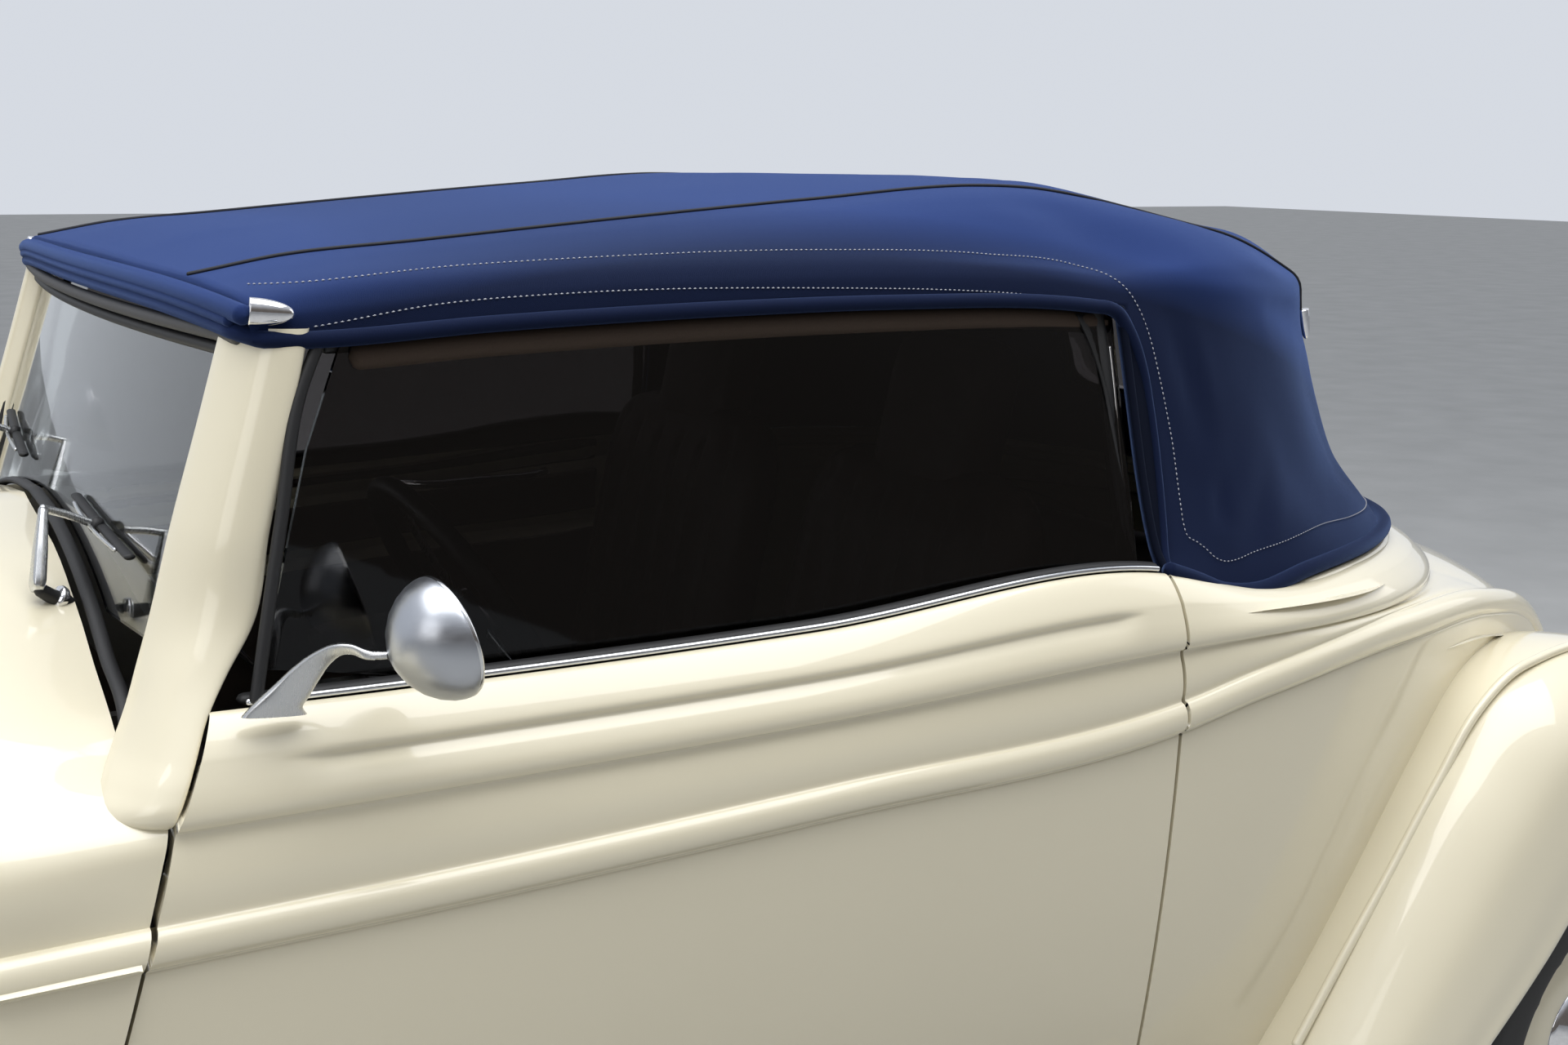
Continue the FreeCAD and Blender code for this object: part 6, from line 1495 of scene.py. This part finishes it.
def openCloth(obj, shift):
    # takes out the faces whose middle lies inside the outline
    work = bmesh.new()
    work.from_mesh(obj.data)
    middle, reach = (rearPane["low"] + rearPane["high"]) / 2, (rearPane["high"] - rearPane["low"]) / 2
    gone = [f for f in work.faces if f.calc_center_median().x < -1.0 and
            abs(f.calc_center_median().y / (rearPane["half"] + shift)) ** rearPane["bend"]
            + abs((f.calc_center_median().z - middle) / (reach + shift)) ** rearPane["bend"] < 1]
    bmesh.ops.delete(work, geom=gone, context="FACES")
    work.to_mesh(obj.data)
    work.free()
    obj.data.update()


openCloth(softTop, -0.001)
within = (-0.9, 0, 1.2)
rings = [clothSpot(*paneOutline(shift), lift) for shift, lift in
         ((0.016, 0.0002), (0.015, 0.0024), (0.0, 0.0030), (-0.015, 0.0024), (-0.017, -0.0030))]
addGrid("rear_window_border", np.stack(rings), "chassis", *clothed, wrapColumns=True, inside=within)
y, z = paneOutline(-0.008)
middle = (rearPane["low"] + rearPane["high"]) / 2
shares = (1.0, 0.8, 0.6, 0.4, 0.2, 0.01)
pane = np.stack([clothSpot(y * share, middle + (z - middle) * share, -0.0030) for share in shares])
rearGlass = addGrid("rear_window_pane", pane, "chassis", "dark_glass", materials["dark_glass"], wrapColumns=True,
                    inside=within)
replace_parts(thicken(weld(rearGlass), 0.003), "rear_window")
y, z = paneOutline(0.008, 160)
border = clothSpot(y, z, 0.0034)
p, f = stitchRow(np.vstack([border, border[:1]]))
addMesh("rear_window_stitches", p, f, "chassis", "top_cloth", thread)
print("rear window")


# seats: half sizes of the padded blocks (length, width, thickness) in metres, angles in degrees
seat = {"groove": 0.009, "wide": 0.0055, "lean": 13.0, "pan": 7.0, "y": 0.315, "cushion": (0.278, 0.243, 0.069),
        "back": (0.285, 0.243, 0.054), "headRest": (0.114, 0.109, 0.043), "bench": (0.127, 0.427, 0.084),
        "benchBack": (0.196, 0.427, 0.047), "armRest": (0.170, 0.026, 0.026)}


def cushionGrids(half, rows=32, columns=92, pleats=5):
    # a square (p, q) drawn onto a rounded plan |x|^6 + |y|^6 = 1, crown z = (1 - r^4)^0.4 with r = max(|p|, |q|);
    # channels press the upper side in by g exp(-(d / w)^2), d the distance to the next of the evenly spaced seams
    spread = lambda n: np.sign(np.linspace(-1, 1, n)) * (1 - (1 - np.abs(np.linspace(-1, 1, n))) ** 1.3)
    p, q = np.meshgrid(spread(rows), spread(columns), indexing="ij")
    r = np.maximum(np.maximum(np.abs(p), np.abs(q)), 1e-6)
    k = r / (np.abs(p) ** 6 + np.abs(q) ** 6) ** (1 / 6)
    x, y = half[0] * p * k, half[1] * q * k
    crown = np.clip(1 - r ** 4, 0, 1) ** 0.4
    press = 0
    if pleats:
        seams = np.linspace(-0.74, 0.74, pleats + 1) * half[1]
        d = np.abs(y[..., None] - seams).min(-1)
        area = smoothStep((0.84 - np.abs(x) / half[0]) / 0.06) * (np.abs(y) < 0.74 * half[1] + 0.012)
        across = np.exp(-((np.abs(x) - 0.84 * half[0]) / seat["wide"]) ** 2) * (np.abs(y) < 0.74 * half[1])
        press = seat["groove"] * np.maximum(np.exp(-(d / seat["wide"]) ** 2) * area, across)
    return (np.stack([x, y, half[2] * crown - press], -1), np.stack([x, y, -half[2] * crown], -1))


def turned(grid, shift, turnY, pivot):
    # moves a grid, then turns it by turnY degrees about the line through the pivot parallel to y
    c, k = math.cos(math.radians(turnY)), math.sin(math.radians(turnY))
    d = grid + np.array(shift) - np.array(pivot)
    return np.array(pivot) + np.stack([c * d[..., 0] + k * d[..., 2], d[..., 1], -k * d[..., 0] + c * d[..., 2]], -1)


def addCushion(name, half, shift, turnY, pivot, rides="chassis", upright=False, stands=None, fill=0.8, mirror=False,
               **options):
    upper, lower = cushionGrids(half, **options)
    if upright:
        upper, lower = upper[..., [2, 1, 0]], lower[..., [2, 1, 0]]
    upper, lower = turned(upper, shift, turnY, pivot), turned(lower, shift, turnY, pivot)
    mid = (upper.mean((0, 1)) + lower.mean((0, 1))) / 2
    points, faces, start = [], [], 0
    for grid in (upper, lower):
        found = gridFaces(*grid.shape[:2])
        flat = grid.reshape(-1, 3)
        corner = flat[found]
        across = np.cross(corner[:, 2] - corner[:, 0], corner[:, 3] - corner[:, 1])
        if np.sum(across * (corner.mean(1) - mid)) < 0:
            found = found[:, ::-1]
        if mirror:
            flat, found = flat * [1, -1, 1], found[:, ::-1]
        points.append(flat)
        faces.append(found + start)
        start += len(flat)
    obj = weld(addMesh(name, np.vstack(points), np.vstack(faces), rides, *covered))
    if stands:
        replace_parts(obj, stands)
    return obj


for side, flip in sides:
    y = -seat["y"] if flip else seat["y"]
    pivot = (-0.385, y, 0.640)
    addCushion(f"seat_pan_{side}", seat["cushion"], (-0.090, y, 0.630), -seat["pan"], (0, y, 0.560),
               stands=None if flip else "seat_cushions")
    addCushion(f"seat_back_{side}", seat["back"], (-0.385, y, 0.882), -seat["lean"], pivot, upright=True,
               stands=None if flip else "seat_backs")
    addCushion(f"head_rest_{side}", seat["headRest"], (-0.390, y, 1.2175), -seat["lean"], pivot, upright=True,
               pleats=0, rows=30, columns=30, fill=0.9)
    addBox(f"seat_base_{side}", (-0.100, y, 0.522), identity, (0.198, 0.190, 0.066), "chassis", *blackened,
           edge=0.008)
addCushion("bench_cushion", seat["bench"], (-0.770, 0, 0.632), 0, (0, 0, 0), pleats=9, columns=132,
           stands="rear_bench")
addCushion("bench_back", seat["benchBack"], (-0.950, 0, 0.800), 0, (0, 0, 0), upright=True, pleats=9, columns=132)
addBox("bench_base", (-0.740, 0, 0.508), identity, (0.050, 0.40, 0.052), "chassis", *blackened, edge=0.006)

# steering wheel on its own body: grip with finger ribs, hub, three spokes
steer = {"centre": np.array((0.122, 0.300, 1.014)), "radius": 0.180, "grip": 0.0125, "tilt": math.radians(30)}
axis = np.array([-math.cos(steer["tilt"]), 0, math.sin(steer["tilt"])])
rise, sideward = np.array([math.sin(steer["tilt"]), 0, math.cos(steer["tilt"])]), np.array([0, 1.0, 0])
a = np.linspace(0, 2 * np.pi, 180, endpoint=False)
rimPath = steer["centre"] + steer["radius"] * (np.cos(a)[:, None] * sideward + np.sin(a)[:, None] * rise)
wheelRim = addTube("steering_rim", rimPath, steer["grip"] * (1 - 0.05 * (np.arange(180) % 6 == 0)), "steering_wheel",
                   *gripped, closed=True, up=tuple(axis), around=18)
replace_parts(wheelRim, "steering_wheel")
lathe("steering_hub", [(-0.036, 0.0), (-0.036, 0.030), (-0.010, 0.035), (0.004, 0.035), (0.010, 0.031),
                       (0.0130, 0.020), (0.0138, 0.0)], steer["centre"], axis, "steering_wheel", *gripped, steps=48)
lathe("steering_hub_ring", [(0.006, 0.0345), (0.0105, 0.0340), (0.0112, 0.0310), (0.0085, 0.0300)], steer["centre"],
      axis, "steering_wheel", *chromed, steps=48)
for k, degrees in enumerate((90, 210, 330)):
    reach = math.cos(math.radians(degrees)) * sideward + math.sin(math.radians(degrees)) * rise
    run = np.linspace(0.028, 0.172, 12)
    path = steer["centre"] + run[:, None] * reach - axis * (0.004 * np.sin(np.linspace(0, np.pi, 12)))[:, None]
    addTube(f"steering_spoke_{k}", path, np.interp(run, [0.028, 0.172], [0.0115, 0.0080]), "steering_wheel",
            *brushedMetal, up=tuple(axis), squash=0.45)

# instruments: bright bezels, black faces, pale ticks and a needle, without figures
dash = {"x": 0.446, "z": 0.930, "slope": 0.030 / 0.218,
        "dials": [(0.375, 1.040, 0.047), (0.235, 1.040, 0.047), (0.090, 1.050, 0.028), (0.0, 1.052, 0.028),
                  (-0.090, 1.050, 0.028)]}
face = np.array([-1, 0, dash["slope"]]) / math.hypot(1, dash["slope"])
for k, (y, z, r) in enumerate(dash["dials"]):
    at = np.array((dash["x"] + (z - dash["z"]) * dash["slope"], y, z))
    lathe(f"dial_bezel_{k}", [(0, r), (0.006, r), (0.009, r * 0.97), (0.008, r * 0.92), (0.003, r * 0.90)], at, face,
          "chassis", *chromed, steps=56)
    lathe(f"dial_face_{k}", [(0.003, r * 0.91), (0.003, 0.0)], at, face, "chassis", "frame_black", dialFace, steps=48)
    points, faces = [], []
    across, upOnDial = np.array([0, 1.0, 0]), np.cross(face, [0, 1.0, 0])
    marks = [(math.radians(-135 + 27 * m), 0.74, 0.86, 0.0011) for m in range(11)]
    marks.append((math.radians(-60), -0.12, 0.70, 0.0013))
    for swing, begin, end, wide in marks:
        out = math.sin(swing) * across + math.cos(swing) * upOnDial
        cross = np.cross(face, out)
        first = len(points)
        corners = ((begin, -1), (begin, 1), (end, 1), (end, -1))
        points += [at + face * 0.0036 + out * far * r + cross * sign * wide for far, sign in corners]
        faces.append((first, first + 1, first + 2, first + 3))
    addMesh(f"dial_marks_{k}", np.array(points), np.array(faces), "chassis", "frame_black", ivory, smooth=False)
addBox("dash_drawer", (0.4575, -0.330, 1.020), [(face[0], 0, face[2]), (0, 1, 0), (-face[2], 0, face[0])],
       (0.0025, 0.120, 0.050), "chassis", "dash_plastic", materials["dash_plastic"], edge=0.002)
lathe("dash_drawer_knob", [(0.0, 0.008), (0.010, 0.009), (0.014, 0.006), (0.015, 0)], (0.4580, -0.330, 1.045), face,
      "chassis", *chromed, steps=24)

# carpets, door linings, arm rests, handles and winders
winder = {"at": (0.20, 0.632, 0.80), "arm": [(0.20, 0.620, 0.80), (0.17, 0.612, 0.765), (0.145, 0.606, 0.735)],
          "boss": [(0, 0.020), (0.010, 0.018), (0.014, 0.010), (0.015, 0)]}
handleLine = [(-0.11, 0.632, 1.000), (-0.14, 0.606, 1.000), (-0.24, 0.600, 1.000), (-0.34, 0.606, 1.000),
              (-0.37, 0.632, 1.000)]
for side, flip in sides:
    addBox(f"carpet_{side}", (0.150, 0.290, 0.4565), identity, (0.420, 0.240, 0.0035), "chassis", "floor_black",
           carpet, mirror=flip, edge=0.002)
    rides = f"door_{side}"
    inner = doorGrid(60)
    use = np.where((inner[30, :, 2] < 1.020) & (inner[30, :, 2] > 0.470))[0][::2]
    lining = inner[4:-5:2][:, use] - [0, 0.0378, 0]
    thicken(addGrid(f"door_lining_{side}", lining, rides, *covered, mirror=flip, inside=(0, 2, 0.7)), 0.003,
            offset=0.0)
    addCushion(f"arm_rest_{side}", seat["armRest"], (-0.12, 0.618, 0.760), 0, (0, 0, 0), rides=rides, pleats=0,
               rows=40, columns=20, mirror=flip, fill=0.9)
    addTube(f"inner_handle_{side}", along(handleLine, 30), 0.0065, rides, *chromed, mirror=flip)
    lathe(f"winder_boss_{side}", winder["boss"], winder["at"], (0, -1, 0), rides, *chromed, steps=32, mirror=flip)
    addTube(f"winder_arm_{side}", winder["arm"], 0.0055, rides, *chromed, mirror=flip)
print("cabin")

# camera as solved from the photograph
view = {"place": (0.863, 2.231, 1.542), "yaw": -30.86, "pitch": 11.47, "roll": 0.69, "lens": 42.21}
camera = bpy.data.cameras.new("camera")
cameraObject = bpy.data.objects.new("camera", camera)
scene.collection.objects.link(cameraObject)
yaw, pitch, roll = (math.radians(view[key]) for key in ("yaw", "pitch", "roll"))
forward = np.array([math.sin(yaw) * math.cos(pitch), -math.cos(yaw) * math.cos(pitch), -math.sin(pitch)])
right = unit(np.cross(forward, [0, 0, 1]))
up = np.cross(right, forward)
rightRolled = math.cos(roll) * right + math.sin(roll) * up
upRolled = -math.sin(roll) * right + math.cos(roll) * up
basis = np.column_stack([rightRolled, upRolled, -forward])
cameraObject.matrix_world = Matrix.Translation(view["place"]) @ Matrix(basis.tolist()).to_4x4()
camera.lens = view["lens"]
camera.sensor_width = 36
camera.clip_start = 0.05
scene.camera = cameraObject

world = bpy.data.worlds.new("paleWorld")
scene.world = world
world.use_nodes = True
# pale overhead and behind the car, dim and warm near the horizon on the camera's side, which shades the car's side
sky = world.node_tree
shade = sky.nodes["Background"]
direction = addNode(sky, "ShaderNodeTexCoord")
split = addNode(sky, "ShaderNodeSeparateXYZ")
toward = addNode(sky, "ShaderNodeMapRange", interpolation_type="SMOOTHSTEP")
upward = addNode(sky, "ShaderNodeMapRange", interpolation_type="SMOOTHSTEP")
for node, low, high in ((toward, -0.25, 0.45), (upward, 0.85, 0.12)):
    setInputs(node, {"From Min": low, "From Max": high, "To Min": 0.0, "To Max": 1.0})
both = addNode(sky, "ShaderNodeMath", operation="MULTIPLY")
tone = addNode(sky, "ShaderNodeMixRGB", {"Color1": (0.80, 0.84, 0.91, 1), "Color2": (0.15, 0.135, 0.125, 1)})
link(direction, "Generated", split, "Vector")
link(split, "Y", toward, "Value")
link(split, "Z", upward, "Value")
link(toward, "Result", both, 0)
link(upward, "Result", both, 1)
link(both, "Value", tone, "Fac")
link(tone, "Color", shade, "Color")
shade.inputs["Strength"].default_value = 0.84
floorSize = 40
floorMesh = bpy.data.meshes.new("floor")
floorMesh.from_pydata([(-floorSize, -floorSize, 0), (floorSize, -floorSize, 0), (floorSize, floorSize, 0),
                        (-floorSize, floorSize, 0)], [], [(0, 1, 2, 3)])
floorObject = bpy.data.objects.new("floor", floorMesh)
scene.collection.objects.link(floorObject)
floorObject.data.materials.append(plainMaterial("paleFloor", (0.40, 0.40, 0.39), 0.8, scale=3))


def addLamp(name, place, target, size, power):
    lamp = bpy.data.lights.new(name, "AREA")
    lamp.shape, lamp.size, lamp.size_y, lamp.energy = "RECTANGLE", size[0], size[1], power
    obj = bpy.data.objects.new(name, lamp)
    scene.collection.objects.link(obj)
    obj.location = place
    direction = Vector(target) - Vector(place)
    obj.rotation_euler = direction.to_track_quat("-Z", "Y").to_euler()


addLamp("overhead", (0.3, 0.9, 4.8), (0, 0, 0.8), (6, 4), 240)
addLamp("front", (5.0, 3.0, 3.0), (0.5, 0, 0.9), (3, 3), 40)
addLamp("rear", (-5.0, 1.5, 3.2), (-0.8, 0, 0.9), (3, 3), 26)
scene.view_settings.view_transform = "Standard"
